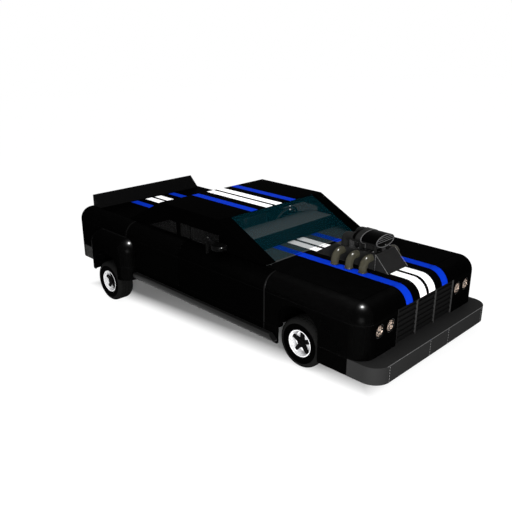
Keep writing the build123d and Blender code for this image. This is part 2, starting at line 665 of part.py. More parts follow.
def oval_form(x0, x1, grow):
    """A length of the scoop's oval, grown or shrunk by a wall."""
    plane = Plane(origin=(-x1, 0, SCOOP_Z), x_dir=(0, 1, 0), z_dir=(1, 0, 0))
    return extrude(plane * Ellipse(SCOOP_HALF + grow, SCOOP_RISE + grow), amount=x1 - x0)


def make_scoop():
    """Oval air scoop: slatted mouth, strap, throat, two clamps and an intake elbow on each side."""
    x0, x1 = SCOOP_X
    throat_front, throat_back, throat_half = THROAT
    foot_out, foot_half, foot_tall = FOOT
    body = oval_form(x0, x1, 0) + oval_form(*STRAP_X, STRAP_THICK)
    body = body + span((-throat_back, -throat_front), (-throat_half, throat_half), (PLINTH_RISE, SCOOP_Z))
    for x in CLAMP_X:
        clamp = span((-x - CLAMP_HALF, -x + CLAMP_HALF), (-CLAMP_OUT, CLAMP_OUT), (PLINTH_RISE, CLAMP_TOP))
        clamp = clamp - span((-x - foot_half, -x + foot_half), (-CLAMP_IN, CLAMP_IN),
                             (PLINTH_RISE, CLAMP_ARCH))
        feet = both(span((-x - foot_half, -x + foot_half), (CLAMP_IN, foot_out),
                         (PLINTH_RISE, PLINTH_RISE + foot_tall)))
        body = body + clamp + feet
    body = body - oval_form(x0 - CUT, x0 + SCOOP_MOUTH, -SCOOP_WALL)
    for rise in SCOOP_SLATS:
        z = SCOOP_Z + rise
        slat = span((-x0 - SLAT_RUN, -x0 - SLAT_RISE), (-SCOOP_HALF, SCOOP_HALF),
                    (z - SLAT_RISE, z + SLAT_RISE))
        body = body + (slat & oval_form(x0, x0 + SCOOP_MOUTH, -CUT))
    path = FilletPolyline((-INTAKE_X, INTAKE_Y, PLINTH_RISE), (-INTAKE_X, INTAKE_Y, SCOOP_Z),
                          (-x1 + INTAKE_IN, INTAKE_Y, SCOOP_Z), radius=INTAKE_BEND)
    foot = Plane(origin=(-INTAKE_X, INTAKE_Y, PLINTH_RISE), z_dir=(0, 0, 1))
    pipe = sweep(foot * Circle(INTAKE_R), path=path)
    middle = -(COLLAR[0] + COLLAR[1]) / 2
    collar = Pos(middle, INTAKE_Y, SCOOP_Z) * Rot(0, 90, 0) * Cylinder(COLLAR_R, COLLAR[1] - COLLAR[0])
    return body + both(pipe) + both(collar)


def make_spoiler():
    end = -DECK_END + SHUT_GAP
    half = CABIN_HALF - SHUT_GAP
    return side_form([(-WING_RAMP, 0), (end, SPOILER_RISE), (end, 0)], -half, half)


# ---- floor and frame ----
def make_floor():
    """Floor pan with its tunnel, front and rear frame rails, rear bulkhead and boot floor."""
    pan = span((-BULKHEAD, -COWL_LINE), (-SILL_INNER, SILL_INNER), (floor_low, floor_top))
    tunnel = span((-SHELF_FRONT, -COWL_LINE), (-TUNNEL_HALF, TUNNEL_HALF), (floor_low, -TUNNEL_TOP))
    inside = TUNNEL_HALF - FLOOR_THICK
    hollow = span((-SHELF_FRONT + FLOOR_THICK, -COWL_LINE + CUT), (-inside, inside),
                  (floor_low - CUT, -TUNNEL_TOP - FLOOR_THICK))
    back = -BULKHEAD - FLOOR_THICK
    wall = span((back, -BULKHEAD), (-DOOR_INNER, DOOR_INNER), (floor_low, -SKIN))
    wall = wall + span((back, -SHELF_FRONT), (-DOOR_INNER, DOOR_INNER), (-SKIN, 0))
    wall = wall + span((-DECK_LINE, -BULKHEAD), (-CABIN_HALF, CABIN_HALF), (-SKIN, 0))
    boot_half = REAR_HOUSE_IN - HOUSE_WALL
    boot = span((-DECK_END, back), (-boot_half, boot_half), (-BOOT_FLOOR, -BOOT_FLOOR + FLOOR_THICK))
    solids = [pan + tunnel - hollow, wall + lid_hinge(-DECK_LINE, -1), boot]
    for side in (1, -1):
        y = (side * RAIL_IN, side * FRONT_HOUSE_IN)
        solids.append(span((-COWL_LINE, -NOSE_SEAM), y, (floor_low, -RAIL_TOP)))
        solids.append(span((-DECK_END, back), y, (floor_low, -BOOT_FLOOR)))
    return Compound(children=solids)


def make_sills():
    sill = span((-FLARE_FRONT, -WING_END + half_gap), (SILL_INNER, BODY_HALF), (-BODY_DEPTH, -WALL_DEPTH))
    return both(sill + door_pin(DOOR_PIN_R, DOOR_PIN_RISE))


def make_firewall():
    """Firewall, cowl panel and the two hinge posts."""
    half = DOOR_INNER - SHUT_GAP
    wall = span((-COWL_LINE - FIREWALL, -COWL_LINE), (-half, half), (floor_top, 0))
    wall = wall - span((-COWL_LINE - FIREWALL - CUT, 0), (-TUNNEL_HALF, TUNNEL_HALF),
                       (floor_top - CUT, -TUNNEL_TOP))
    cowl = span((-DASH_FACE, -COWL_LINE), (-half, half), (-SKIN, 0))
    post = span((-POST_BACK, -WING_END), (POST_IN, half), (floor_top, 0))
    post = post - span((-COWL_LINE, 0), (0, AWAY), (-LID_THICK - SHUT_GAP, CUT))
    return wall + cowl + both(post) + lid_hinge(-COWL_LINE, 1)


# ---- cabin fittings ----
def make_dashboard():
    """Dashboard with the fixed tube of the steering column and the console."""
    half = DOOR_INNER - DASH_ROOM
    dash = span((-DASH_BACK, -DASH_FACE), (-half, half), (-DASH_LOW, -SKIN))
    ledge = GLASS_HALF - REBATE - LEDGE_ROOM
    dash = dash + span((-DASH_BACK, -FACIA_FRONT), (-ledge, ledge), (-SKIN, DASH_TOP))
    tube_in, tube_long = COLUMN_TUBE
    bore_in, bore_long = COLUMN_BORE
    tube = column * Pos(0, 0, -tube_in) * Cylinder(COLUMN_R, tube_long)
    bore = column * Pos(0, 0, -bore_in) * Cylinder(SHAFT_R + BEARING, bore_long)
    front, rear, wide, tall = CONSOLE
    console = span((-rear, -front), (-wide, wide), (-TUNNEL_TOP, -TUNNEL_TOP + tall))
    return Compound(children=[dash + tube - bore, console])


def make_steering_wheel():
    hub_r, hub_thick, hub_in = STEER_HUB
    spoke_wide, spoke_thick = STEER_SPOKE
    shaft_in, shaft_long = SHAFT
    wheel = column * Torus(STEER_R, STEER_GRIP) + column * Pos(0, 0, -hub_in) * Cylinder(hub_r, hub_thick)
    for turn in STEER_SPOKES:
        spoke = Pos(STEER_R / 2, 0, 0) * Box(STEER_R, spoke_wide, spoke_thick)
        wheel = wheel + column * Rot(0, 0, turn) * spoke
    return wheel + column * Pos(0, 0, -shaft_in) * Cylinder(SHAFT_R, shaft_long)


def cushion_form(feet, side, y0, y1):
    """A seat on two feet at floor level with the given side view above them."""
    points = [(-feet[0], floor_top)] + [(-x, z) for x, z in side] + [(-feet[1], floor_top)]
    return side_form(points, y0, y1)


def make_seats():
    """Two front seats with head restraints and the rear bench, as plain cushioned solids."""
    seat = cushion_form(SEAT_FEET, SEAT_SIDE, SEAT_Y - SEAT_HALF, SEAT_Y + SEAT_HALF)
    rest = side_form([(-x, z) for x, z in REST_SIDE], SEAT_Y - REST_HALF, SEAT_Y + REST_HALF)
    bench = cushion_form(BENCH_FEET, BENCH_SIDE, -BENCH_HALF, BENCH_HALF)
    bench = bench - span((-BULKHEAD, -BENCH_FEET[0] + SKIN), (-TUNNEL_HALF - CUT, TUNNEL_HALF + CUT),
                         (floor_top - CUT, -TUNNEL_TOP + CUT))
    return both(seat + rest) + bench


# ---- engine, axles and what hangs below ----
def make_engine():
    """Engine and gearbox as one plain block."""
    front, back = ENGINE_X
    block = span((-back, -front), (-ENGINE_HALF, ENGINE_HALF), (floor_low, -ENGINE_TOP))
    return block + span((-SHAFT_FRONT, -back), (-GEARBOX_HALF, GEARBOX_HALF),
                        (floor_low + GEARBOX_DROP, -TUNNEL_TOP - GEARBOX_ROOM))


def make_crossmember():
    """Front crossmember with an upper and a lower suspension arm on each side."""
    beam = span((-FRONT_AXLE - CROSS_HALF, -FRONT_AXLE + CROSS_HALF), (-FRONT_HOUSE_IN, FRONT_HOUSE_IN),
                (floor_low - CROSS_THICK, floor_low))
    arms = {}
    for rise in (ARM_RISE, -ARM_RISE):
        z = -FRONT_AXLE_DROP + rise
        arm = span((-FRONT_AXLE - ARM_HALF, -FRONT_AXLE + ARM_HALF), (FRONT_HOUSE_IN, KINGPIN_Y),
                   (z - ARM_THICK / 2, z + ARM_THICK / 2))
        arm = arm + Pos(-FRONT_AXLE, KINGPIN_Y, z) * Cylinder(ARM_EYE_R, ARM_THICK)
        arms[rise] = arm - Pos(-FRONT_AXLE, KINGPIN_Y, z) * Cylinder(KINGPIN_R + BEARING, 3 * ARM_THICK)
    drop = span((-FRONT_AXLE - ARM_HALF, -FRONT_AXLE + ARM_HALF),
                (FRONT_HOUSE_IN, FRONT_HOUSE_IN + ARM_PLATE),
                (floor_low - CROSS_THICK, -FRONT_AXLE_DROP - ARM_RISE + ARM_THICK / 2))
    return beam + both(arms[-ARM_RISE] + drop) + both(arms[ARM_RISE])


def make_knuckle():
    """Upright with its kingpin ends and the spindle that the wheel turns on."""
    middle = Pos(-FRONT_AXLE, KINGPIN_Y, -FRONT_AXLE_DROP)
    upright = middle * Box(*KNUCKLE)
    pin = middle * Cylinder(KINGPIN_R, 2 * (ARM_RISE + ARM_THICK / 2))
    spindle = barrel(SPINDLE_R, KINGPIN_Y, FRONT_FACE - SPINDLE_SET, -FRONT_AXLE, -FRONT_AXLE_DROP)
    return upright + pin + spindle


def make_rear_axle():
    """Rear axle with its differential, propeller shaft, spindles and leaf springs."""
    z = -REAR_AXLE_DROP
    end = REAR_FACE - SPINDLE_SET
    axle = barrel(AXLE_R, -AXLE_HALF, AXLE_HALF, -REAR_AXLE, z) + barrel(SPINDLE_R, -end, end, -REAR_AXLE, z)
    axle = axle + Pos(-REAR_AXLE, 0, z) * Sphere(DIFF_R)
    start = Vector(-SHAFT_FRONT, 0, -SHAFT_DROP)
    run = Vector(-REAR_AXLE + SHAFT_END, 0, z) - start
    shaft = Plane(origin=start, z_dir=run) * Pos(0, 0, run.length / 2) * Cylinder(SHAFT_TUBE_R, run.length)
    axle = axle + (shaft & span((-BODY_LENGTH, -SHAFT_FRONT), (-DIFF_R, DIFF_R), (-2 * BODY_DEPTH, 0)))
    back = -DECK_END + SPRING_TAIL
    top = floor_low - SPRING_HANG
    low = top - SPRING_THICK
    under = z - EYE_LENGTH
    leaf = side_form([(-SPRING_FRONT, top), (-REAR_AXLE + SPRING_SEAT, under),
                      (-REAR_AXLE - SPRING_SEAT, under), (back, top), (back, low),
                      (-REAR_AXLE - SPRING_SEAT, under - SPRING_THICK),
                      (-REAR_AXLE + SPRING_SEAT, under - SPRING_THICK), (-SPRING_FRONT, low)], *SPRING_Y)
    for x in (-SPRING_FRONT, back + EYE_LENGTH):
        leaf = leaf + span((x - EYE_LENGTH, x), SPRING_Y, (low, floor_low))
    return axle + both(leaf)


def make_tank():
    return span((-DECK_END + TANK_TAIL, -REAR_AXLE - TANK_AHEAD), (-TANK_HALF, TANK_HALF),
                (-BODY_DEPTH - TANK_DEEP, -BOOT_FLOOR))


def make_side_pipes():
    """Side pipe along each sill, mitred at its front tip, with the exhaust that feeds it."""
    pipe = span((-PIPE_END, -PIPE_FRONT), (BODY_HALF, BODY_HALF + PIPE_OUT), (-PIPE_LOW, -PIPE_TOP))
    pipe = fillet(list(pipe.edges().filter_by(Axis.X).group_by(Axis.Y)[-1]), PIPE_ROUND)
    run, drop = PIPE_TIP
    tip = side_form([(-PIPE_FRONT - run, -PIPE_TOP + CUT), (-PIPE_FRONT + CUT, -PIPE_TOP - drop),
                     (-PIPE_FRONT + CUT, -PIPE_TOP + CUT)], BODY_HALF, AWAY)
    middle = -(PIPE_TOP + PIPE_LOW) / 2
    path = FilletPolyline((-EXHAUST_X, ENGINE_HALF, -EXHAUST_DROP), (-EXHAUST_X, EXHAUST_Y, -EXHAUST_DROP),
                          (-EXHAUST_X, EXHAUST_Y, middle), (-EXHAUST_X, BODY_HALF + CUT, middle),
                          radius=EXHAUST_BEND)
    start = Plane(origin=(-EXHAUST_X, ENGINE_HALF, -EXHAUST_DROP), z_dir=(0, 1, 0))
    exhaust = sweep(start * Circle(EXHAUST_R), path=path)
    return both(pipe - tip + exhaust)


# ---- wheels ----
def make_tyre(face, x, z):
    """Tyre with rounded shoulders and a dished sidewall, seated on the rim."""
    tyre = fillet(Cylinder(WHEEL_R, TYRE_WIDTH).edges(), TYRE_ROUND) - Cylinder(RIM_R, 2 * TYRE_WIDTH)
    dish = Cylinder(SIDEWALL_R, 2 * SIDEWALL_DISH)
    tyre = tyre - Pos(0, 0, TYRE_WIDTH / 2) * dish - Pos(0, 0, -TYRE_WIDTH / 2) * dish
    return Pos(x, face - TYRE_WIDTH / 2, z) * Rot(90, 0, 0) * tyre


def make_rim(face, x, z):
    """Rim: open barrel, tapered spokes, brake disc and a hub bored for the spindle."""
    inner = face - TYRE_WIDTH + RIM_BACK
    outer = face - RIM_SET
    rim = barrel(RIM_R, inner, outer, x, z) - barrel(TUBE_IN, inner - CUT, outer + CUT, x, z)
    rim = rim + barrel(HUB_R, face - HUB_SET[1], face - HUB_SET[0], x, z)
    rim = rim + barrel(DISC_R, face - DISC_SET[1], face - DISC_SET[0], x, z)
    reach = RIM_R - RIM_WALL / 2
    near = face - SPOKE_SET[1]
    outline = Polyline((-SPOKE_HUB, near, 0), (-SPOKE_TIP, near, reach), (SPOKE_TIP, near, reach),
                       (SPOKE_HUB, near, 0), close=True)
    spoke = extrude(make_face(outline), amount=SPOKE_SET[1] - SPOKE_SET[0], dir=(0, 1, 0))
    for i in range(SPOKES):
        rim = rim + Pos(x, 0, z) * Rot(0, 360 / SPOKES * i, 0) * spoke
    return rim - barrel(SPINDLE_R + BEARING, inner, face - SPINDLE_SET + BEARING, x, z)


wing = make_wing()
door = make_door()
quarter = make_quarter()
nose = make_nose()
pieces["floor_pan"] = make_floor()
pieces["sills"] = make_sills()
pieces["firewall"] = make_firewall()
pieces["nose_panel"] = nose
pieces["grille"] = make_grille(nose)
pieces["headlamps"] = make_headlamps()
pieces["tail_panel"] = make_tail()
pieces["tail_lamps"] = make_tail_lamps()
pieces["bumpers"] = make_bumpers()
pieces["roof_shell"] = make_roof()
pieces["windscreen"] = make_windscreen()
pieces["rear_glass"] = make_rear_glass()
pieces["dashboard"] = make_dashboard()
pieces["steering_wheel"] = make_steering_wheel()
pieces["seats"] = make_seats()
pieces["engine_block"] = make_engine()
pieces["front_crossmember"] = make_crossmember()
pieces["rear_axle"] = make_rear_axle()
pieces["fuel_tank"] = make_tank()
pieces["side_pipes"] = make_side_pipes()
pieces["bonnet"] = lid(-COWL_LINE, 1, -NOSE_SEAM - SHUT_GAP)
pieces["blower_housing"] = make_blower()
pieces["scoop"] = make_scoop()
pieces["boot_lid"] = lid(-DECK_LINE, -1, -DECK_END + SHUT_GAP)
pieces["spoiler"] = make_spoiler()
paired = {
    "wing": wing,
    "quarter": quarter,
    "door": door,
    "door_glass": make_door_glass(),
    "mirror": make_mirror(),
    "knuckle": make_knuckle(),
    "tyre_front": make_tyre(FRONT_FACE, -FRONT_AXLE, -FRONT_AXLE_DROP),
    "rim_front": make_rim(FRONT_FACE, -FRONT_AXLE, -FRONT_AXLE_DROP),
    "tyre_rear": make_tyre(REAR_FACE, -REAR_AXLE, -REAR_AXLE_DROP),
    "rim_rear": make_rim(REAR_FACE, -REAR_AXLE, -REAR_AXLE_DROP),
}
for name, shape in paired.items():
    pieces[f"{name}_left"] = shape
    pieces[f"{name}_right"] = twin(shape)

os.makedirs("parts", exist_ok=True)
for name, shape in pieces.items():
    solids = Compound(children=list(shape.solids()))
    export_step(STANCE * solids, f"parts/{name}.step")
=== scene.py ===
import bmesh
import bpy
import math
from mathutils import Matrix, Vector


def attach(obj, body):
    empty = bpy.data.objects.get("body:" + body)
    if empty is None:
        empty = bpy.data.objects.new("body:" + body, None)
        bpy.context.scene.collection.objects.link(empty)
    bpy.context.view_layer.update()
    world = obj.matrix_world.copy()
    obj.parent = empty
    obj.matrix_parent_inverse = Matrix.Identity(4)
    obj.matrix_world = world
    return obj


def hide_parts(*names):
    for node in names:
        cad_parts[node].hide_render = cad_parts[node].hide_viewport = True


bl_info = {
    "name": "Muscle car looks",
    "version": (1, 0, 0),
    "blender": (4, 5, 0),
    "location": "3D View > Sidebar > Muscle car",
    "description": "Dresses the packed muscle car with paint, glass, tyres, lamps, seats and a studio",
    "category": "Object",
}

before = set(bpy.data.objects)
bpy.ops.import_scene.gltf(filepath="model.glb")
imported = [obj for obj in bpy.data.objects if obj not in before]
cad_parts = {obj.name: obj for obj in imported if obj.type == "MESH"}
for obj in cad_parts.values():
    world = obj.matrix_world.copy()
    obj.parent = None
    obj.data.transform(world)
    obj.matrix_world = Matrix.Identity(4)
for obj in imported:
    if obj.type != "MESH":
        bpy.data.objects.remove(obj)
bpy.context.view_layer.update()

MM = 0.001
MODULE = 0.165                  # one block of the body
STANCE = Matrix.Translation((2.2588145, 0.0, 0.783208)) @ Matrix.Rotation(math.radians(3.5278103), 4, "Y")
SIDES = (("left", 1), ("right", -1))
# each axle's place behind the nose plane, its height and the outer face of its tyres
WHEELS = (("front", 742.5, -582.5, 953.7), ("rear", 3712.5, -765.6, 1128.6))
PAD_VOXEL = 9.0
PAD_ROUND = 22.0
PAD_PRESSURE = 4.0
PAD_FRAMES = 20
CHANNEL_WIDE = 6.0
CHANNEL_DEEP = 5.0


# ---- making and finishing pieces, in millimetres of the car's level frame ----
def clear_selection():
    if bpy.context.mode != "OBJECT":
        bpy.ops.object.mode_set(mode="OBJECT")
    bpy.ops.object.select_all(action="DESELECT")


def take(*pieces):
    """Selects these pieces and nothing else, with the first one active."""
    clear_selection()
    for piece in pieces:
        piece.select_set(True)
    bpy.context.view_layer.objects.active = pieces[0]


def spot(x, y, z):
    """A place behind the nose plane, from the centre line and above the bonnet flat."""
    return Vector((-x * MM, y * MM, z * MM))


def settle(obj):
    """Puts an object's own place into its mesh."""
    take(obj)
    bpy.ops.object.transform_apply(location=True, rotation=True, scale=True)
    return obj


def soften(obj, width, segments=2):
    """Rounds the sharp edges of a piece by a width, if that isn't 0."""
    if width:
        bevel = obj.modifiers.new("soft edge", "BEVEL")
        bevel.width = width * MM
        bevel.segments = segments
        bevel.limit_method = "ANGLE"
        bevel.angle_limit = math.radians(40)
        apply_modifiers(obj)
    return obj


def apply_modifiers(obj):
    take(obj)
    for modifier in list(obj.modifiers):
        bpy.ops.object.modifier_apply(modifier=modifier.name)


def block(x, y, z, edge=2.0, segments=2):
    """A softened block between two places on each axis."""
    clear_selection()
    middle = spot(sum(x) / 2, sum(y) / 2, sum(z) / 2)
    bpy.ops.mesh.primitive_cube_add(size=1, location=middle)
    obj = bpy.context.object
    obj.scale = [abs(b - a) * MM for a, b in (x, y, z)]
    return soften(settle(obj), edge, segments)


def traced(places):
    """A line of points drawn from place to place, left open for editing with all of it selected."""
    clear_selection()
    bpy.ops.mesh.primitive_plane_add(size=0.01)
    obj = bpy.context.object
    bpy.ops.object.mode_set(mode="EDIT")
    bpy.ops.mesh.select_mode(type="VERT")
    bpy.ops.mesh.select_all(action="SELECT")
    bpy.ops.mesh.merge(type="CENTER")
    here = Vector((0, 0, 0))
    for i, there in enumerate(places):
        if i == 0:
            bpy.ops.transform.translate(value=there - here)
        else:
            bpy.ops.mesh.extrude_vertices_move(TRANSFORM_OT_translate={"value": there - here})
        here = there
    bpy.ops.mesh.select_all(action="SELECT")
    return obj


def wedge(outline, y, edge=3.0, segments=2):
    """A softened solid between two side planes with the given side view."""
    obj = traced([spot(x, y[0], z) for x, z in outline])
    bpy.ops.mesh.edge_face_add()
    bpy.ops.mesh.extrude_region_move(TRANSFORM_OT_translate={"value": (0, (y[1] - y[0]) * MM, 0)})
    bpy.ops.mesh.select_all(action="SELECT")
    bpy.ops.mesh.normals_make_consistent(inside=False)
    bpy.ops.object.mode_set(mode="OBJECT")
    return soften(obj, edge, segments)


def rod(radius, start, end, edge=1.5, sides=32, tip=None):
    """A softened round bar between two places."""
    clear_selection()
    a, b = spot(*start), spot(*end)
    run = b - a
    turn = run.to_track_quat("Z", "Y").to_euler()
    top = radius if tip is None else tip
    bpy.ops.mesh.primitive_cone_add(vertices=sides, radius1=radius * MM, radius2=top * MM, depth=run.length,
                                    location=(a + b) / 2, rotation=turn)
    return soften(settle(bpy.context.object), edge)


def hoop(radius, grip, middle, axis, sides=64, around=12):
    """A round ring about an axis."""
    clear_selection()
    turn = Vector(axis).to_track_quat("Z", "Y").to_euler()
    bpy.ops.mesh.primitive_torus_add(major_radius=radius * MM, minor_radius=grip * MM, major_segments=sides,
                                     minor_segments=around, location=spot(*middle), rotation=turn)
    return settle(bpy.context.object)


def dome(radius, middle, axis, flat, sides=32, rings=16):
    """A flattened ball about an axis."""
    clear_selection()
    turn = Vector(axis).to_track_quat("Z", "Y").to_euler()
    bpy.ops.mesh.primitive_uv_sphere_add(segments=sides, ring_count=rings, radius=radius * MM,
                                         location=spot(*middle), rotation=turn, scale=(1, 1, flat))
    return settle(bpy.context.object)


def pick(obj, test, mode="FACE"):
    """Opens a mesh for editing with only what passes the test selected."""
    take(obj)
    bpy.ops.object.mode_set(mode="EDIT")
    bpy.ops.mesh.select_mode(type=mode)
    bpy.ops.mesh.select_all(action="DESELECT")
    mesh = bmesh.from_edit_mesh(obj.data)
    for item in mesh.faces if mode == "FACE" else mesh.verts:
        if test(item):
            item.select_set(True)
    mesh.select_flush_mode()
    bmesh.update_edit_mesh(obj.data)


def spun(points, x, z, steps):
    """A ring spun about a wheel's axle from a closed outline of (across, radius) points."""
    obj = traced([spot(x, across, z + radius) for across, radius in points])
    bpy.ops.mesh.spin(steps=steps, angle=2 * math.pi, center=spot(x, 0, z), axis=(0, 1, 0))
    bpy.ops.mesh.select_all(action="SELECT")
    bpy.ops.mesh.remove_doubles(threshold=0.00002)
    bpy.ops.mesh.normals_make_consistent(inside=False)
    bpy.ops.object.mode_set(mode="OBJECT")
    return obj


def joined(parts):
    take(*parts)
    if len(parts) > 1:
        bpy.ops.object.join()
    return parts[0]


def sew(obj, y, channels):
    """Presses evenly spaced channels, running along the car, into the upper side of a pad."""
    pitch = (y[1] - y[0]) / (channels + 1)
    lines = [(y[0] + pitch * (i + 1)) * MM for i in range(channels)]
    normals = [v.normal.copy() for v in obj.data.vertices]
    for v, normal in zip(obj.data.vertices, normals):
        if normal.z < 0.1 and normal.x < 0.3:
            continue
        off = min(abs(v.co.y - line) for line in lines) / (CHANNEL_WIDE * MM)
        v.co -= normal * CHANNEL_DEEP * MM * math.exp(-off * off)


def padded(name, corners, y, swell, channels):
    """A stuffed pad with the given side view, from front low round to back low, between two side planes."""
    obj = wedge(corners, y, PAD_ROUND, 4)
    obj.name = name
    remesh = obj.modifiers.new("even grid", "REMESH")
    remesh.mode = "VOXEL"
    remesh.voxel_size = PAD_VOXEL * MM
    apply_modifiers(obj)
    start = [v.co.copy() for v in obj.data.vertices]
    cloth = obj.modifiers.new("stuffing", "CLOTH")
    cloth.settings.use_pressure = True
    cloth.settings.uniform_pressure_force = PAD_PRESSURE
    cloth.settings.effector_weights.gravity = 0
    for step in range(1, PAD_FRAMES + 1):
        bpy.context.scene.frame_set(step)
    apply_modifiers(obj)
    bpy.context.scene.frame_set(1)
    for v, place in zip(obj.data.vertices, start):
        move = v.co - place
        if move.length > swell * MM:
            v.co = place + move.normalized() * swell * MM
    if channels:
        sew(obj, y, channels)
    fine = obj.modifiers.new("finer skin", "SUBSURF")
    fine.levels = fine.render_levels = 1
    apply_modifiers(obj)
    return obj


def dress(obj, finish):
    obj.data.materials.clear()
    obj.data.materials.append(finish)


def fit(obj, name, body, finish, smooth=35):
    """Names a piece, sets it on its wheels with the rest, and has it ride on its body."""
    obj.name = name
    obj.data.name = name
    dress(obj, finish)
    obj.data.transform(STANCE)
    take(obj)
    bpy.ops.object.shade_smooth_by_angle(angle=math.radians(smooth))
    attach(obj, body)
    return obj


def both_sides(shape, name, body, finish, smooth=35, replaced=None):
    """Fits a shape made for the left side on both sides, in place of a CAD node if one is named."""
    pieces = []
    for side, sign in SIDES:
        piece = shape.copy()
        piece.data = shape.data.copy()
        bpy.context.collection.objects.link(piece)
        if sign < 0:
            piece.data.transform(Matrix.Scale(-1, 4, (0, 1, 0)))
            piece.data.flip_normals()
        fit(piece, f"{name}_{side}", body.format(side=side), finish, smooth)
        if replaced:
            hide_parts(replaced.format(side=side))
        pieces.append(piece)
    bpy.data.objects.remove(shape)
    return pieces


# ---- finishes ----
UNTINTED = (0.0, 0.0, 0.0, 1.0)
BLACK_METAL = 0.7
BARREL_METAL = 0.3
BUMPER_GREY = 0.024
# where a finish changes on a piece, in millimetres
DASH_TOP = 150.0
SHOULDER_R = 199.0
SPOKES_R = 117.0
SPOKES_DEEP = 62.0
SCOOP_SPLIT = 252.0
SCOOP_REAR = -778.0
SCOOP_MOUTH = -505.0
STRAP = (-747.0, -678.0)
STRAP_HIGHLIGHT = (-684.0, -678.0)
PIPE_HIGHLIGHT = (-640.0, -618.0)
INNER_POST = (160.0, 170.0)
OUTER_POST = (485.0, 496.0)
POST_BACK = -16.0


def grey(shade):
    return (shade, shade, shade)


class Nodes:
    """A tree of shader nodes under construction."""

    def __init__(self, tree):
        self.tree = tree

    def node(self, kind, **settings):
        made = self.tree.nodes.new(kind)
        for key, value in settings.items():
            setattr(made, key, value)
        return made

    def link(self, source, target):
        self.tree.links.new(source, target)

    def fed(self, kind, given, **settings):
        """A node whose sockets are given numbers, colours (a number stands for a grey) or other sockets."""
        made = self.node(kind, **settings)
        for name, value in given.items():
            socket = made.inputs[name]
            if isinstance(value, (int, float)) and socket.type != "RGBA":
                socket.default_value = value
            elif isinstance(value, (float, tuple)):
                socket.default_value = (*(grey(value) if isinstance(value, float) else value), 1)
            else:
                self.link(value, socket)
        return made

    def math(self, operation, *values):
        return self.fed("ShaderNodeMath", dict(enumerate(values)), operation=operation).outputs[0]

    def times(self, a, b):
        return self.math("MULTIPLY", a, b)

    def plus(self, a, b):
        return self.math("ADD", a, b)

    def minus(self, a, b):
        return self.math("SUBTRACT", a, b)

    def larger(self, a, b):
        return self.math("MAXIMUM", a, b)

    def above(self, a, b):
        return self.math("GREATER_THAN", a, b)

    def below(self, a, b):
        return self.math("LESS_THAN", a, b)

    def size(self, value):
        return self.math("ABSOLUTE", value)

    def between(self, value, low, high):
        """1 where a value is between two others."""
        return self.times(self.above(value, low), self.below(value, high))

    def seen(self):
        """1 for what is looked at directly, in a reflection or through glass, 0 for light on the car."""
        rays = self.node("ShaderNodeLightPath").outputs
        shown = self.larger(rays["Is Camera Ray"], rays["Is Glossy Ray"])
        return self.larger(shown, rays["Is Transmission Ray"])

    def show(self, factor, plain, bright, output):
        """Mixes two shaders by a factor and sends them to the tree's output."""
        mix = self.fed("ShaderNodeMixShader", {0: factor, 1: plain.outputs[0], 2: bright.outputs[0]})
        self.link(mix.outputs[0], self.tree.nodes[output].inputs["Surface"])


class Finish(Nodes):
    """A material under construction, with coordinates in units of the given size in metres."""

    def __init__(self, name, size=1.0, **values):
        self.material = bpy.data.materials.new(name)
        self.material.use_nodes = True
        super().__init__(self.material.node_tree)
        self.shader = self.tree.nodes["Principled BSDF"]
        for key, value in values.items():
            self.shader.inputs[key.replace("_", " ")].default_value = value
        self.coordinates = self.node("ShaderNodeTexCoord").outputs["Object"]
        level = self.fed("ShaderNodeMapping", {"Vector": self.coordinates}, vector_type="TEXTURE")
        level.inputs["Location"].default_value = STANCE.translation
        level.inputs["Rotation"].default_value = STANCE.to_euler()
        level.inputs["Scale"].default_value = (size, size, size)
        self.here = level.outputs["Vector"]

    def axes(self, vector=None):
        return self.fed("ShaderNodeSeparateXYZ", {0: self.here if vector is None else vector}).outputs

    def noise(self, scale, detail=4.0, vector=None):
        place = self.here if vector is None else vector
        given = {"Vector": place, "Scale": scale, "Detail": detail, "Roughness": 0.6}
        return self.fed("ShaderNodeTexNoise", given).outputs["Fac"]

    def blend(self, factor, a, b):
        """A colour between two, by a factor."""
        return self.fed("ShaderNodeMix", {0: factor, 6: a, 7: b}, data_type="RGBA").outputs[2]

    def spread(self, value, low, high):
        """Maps a 0 to 1 value to a range."""
        return self.fed("ShaderNodeMapRange", {"Value": value, "To Min": low, "To Max": high}).outputs[0]

    def bump(self, height, strength, distance):
        made = self.fed("ShaderNodeBump", {"Height": height, "Strength": strength, "Distance": distance})
        self.link(made.outputs[0], self.shader.inputs["Normal"])

    def colour(self, source):
        self.link(source, self.shader.inputs["Base Color"])

    def metal(self, source):
        self.link(source, self.shader.inputs["Metallic"])

    def rough(self, source):
        self.link(source, self.shader.inputs["Roughness"])

    def finished(self, colour, gloss, relief):
        """The material: gloss is a grain and two roughnesses, relief a grain, a strength and a depth."""
        self.colour(colour)
        self.rough(self.spread(self.noise(gloss[0]), *gloss[1:]))
        self.bump(self.noise(relief[0]), *relief[1:])
        return self.material


def cloudy(name, dark, light, rough, grain, relief, metal=0.0, ior=1.45):
    """A finish with cloudy colour, uneven gloss and a fine relief."""
    make = Finish(name, Metallic=metal, IOR=ior)
    cloud = make.blend(make.noise(grain), dark, light)
    return make.finished(cloud, (grain * 3.1, *rough), (grain * 14, relief, 0.001))


# all in blocks of the body, measured from the nose plane, the centre line and the bonnet flat
SEAM = 0.011
BODY_LONG = 28.0
WALL_SEAMS = (1, 2, 3, 6, 7, 11, 15, 19, 22)
SHOULDER_SEAMS = (1, 2, 3, 5, 7, 9, 11, 13, 15, 17, 19, 21, 23, 25)
SHOULDER = -1.0
BUMPER_LINE = -3.0
SIDE_START = 5.02
STRIPES_END = -25.85
BUMPER_END = -25.1
WHITE_BAND = (0.14, 0.8)
BLUE_BAND = (1.57, 2.21)


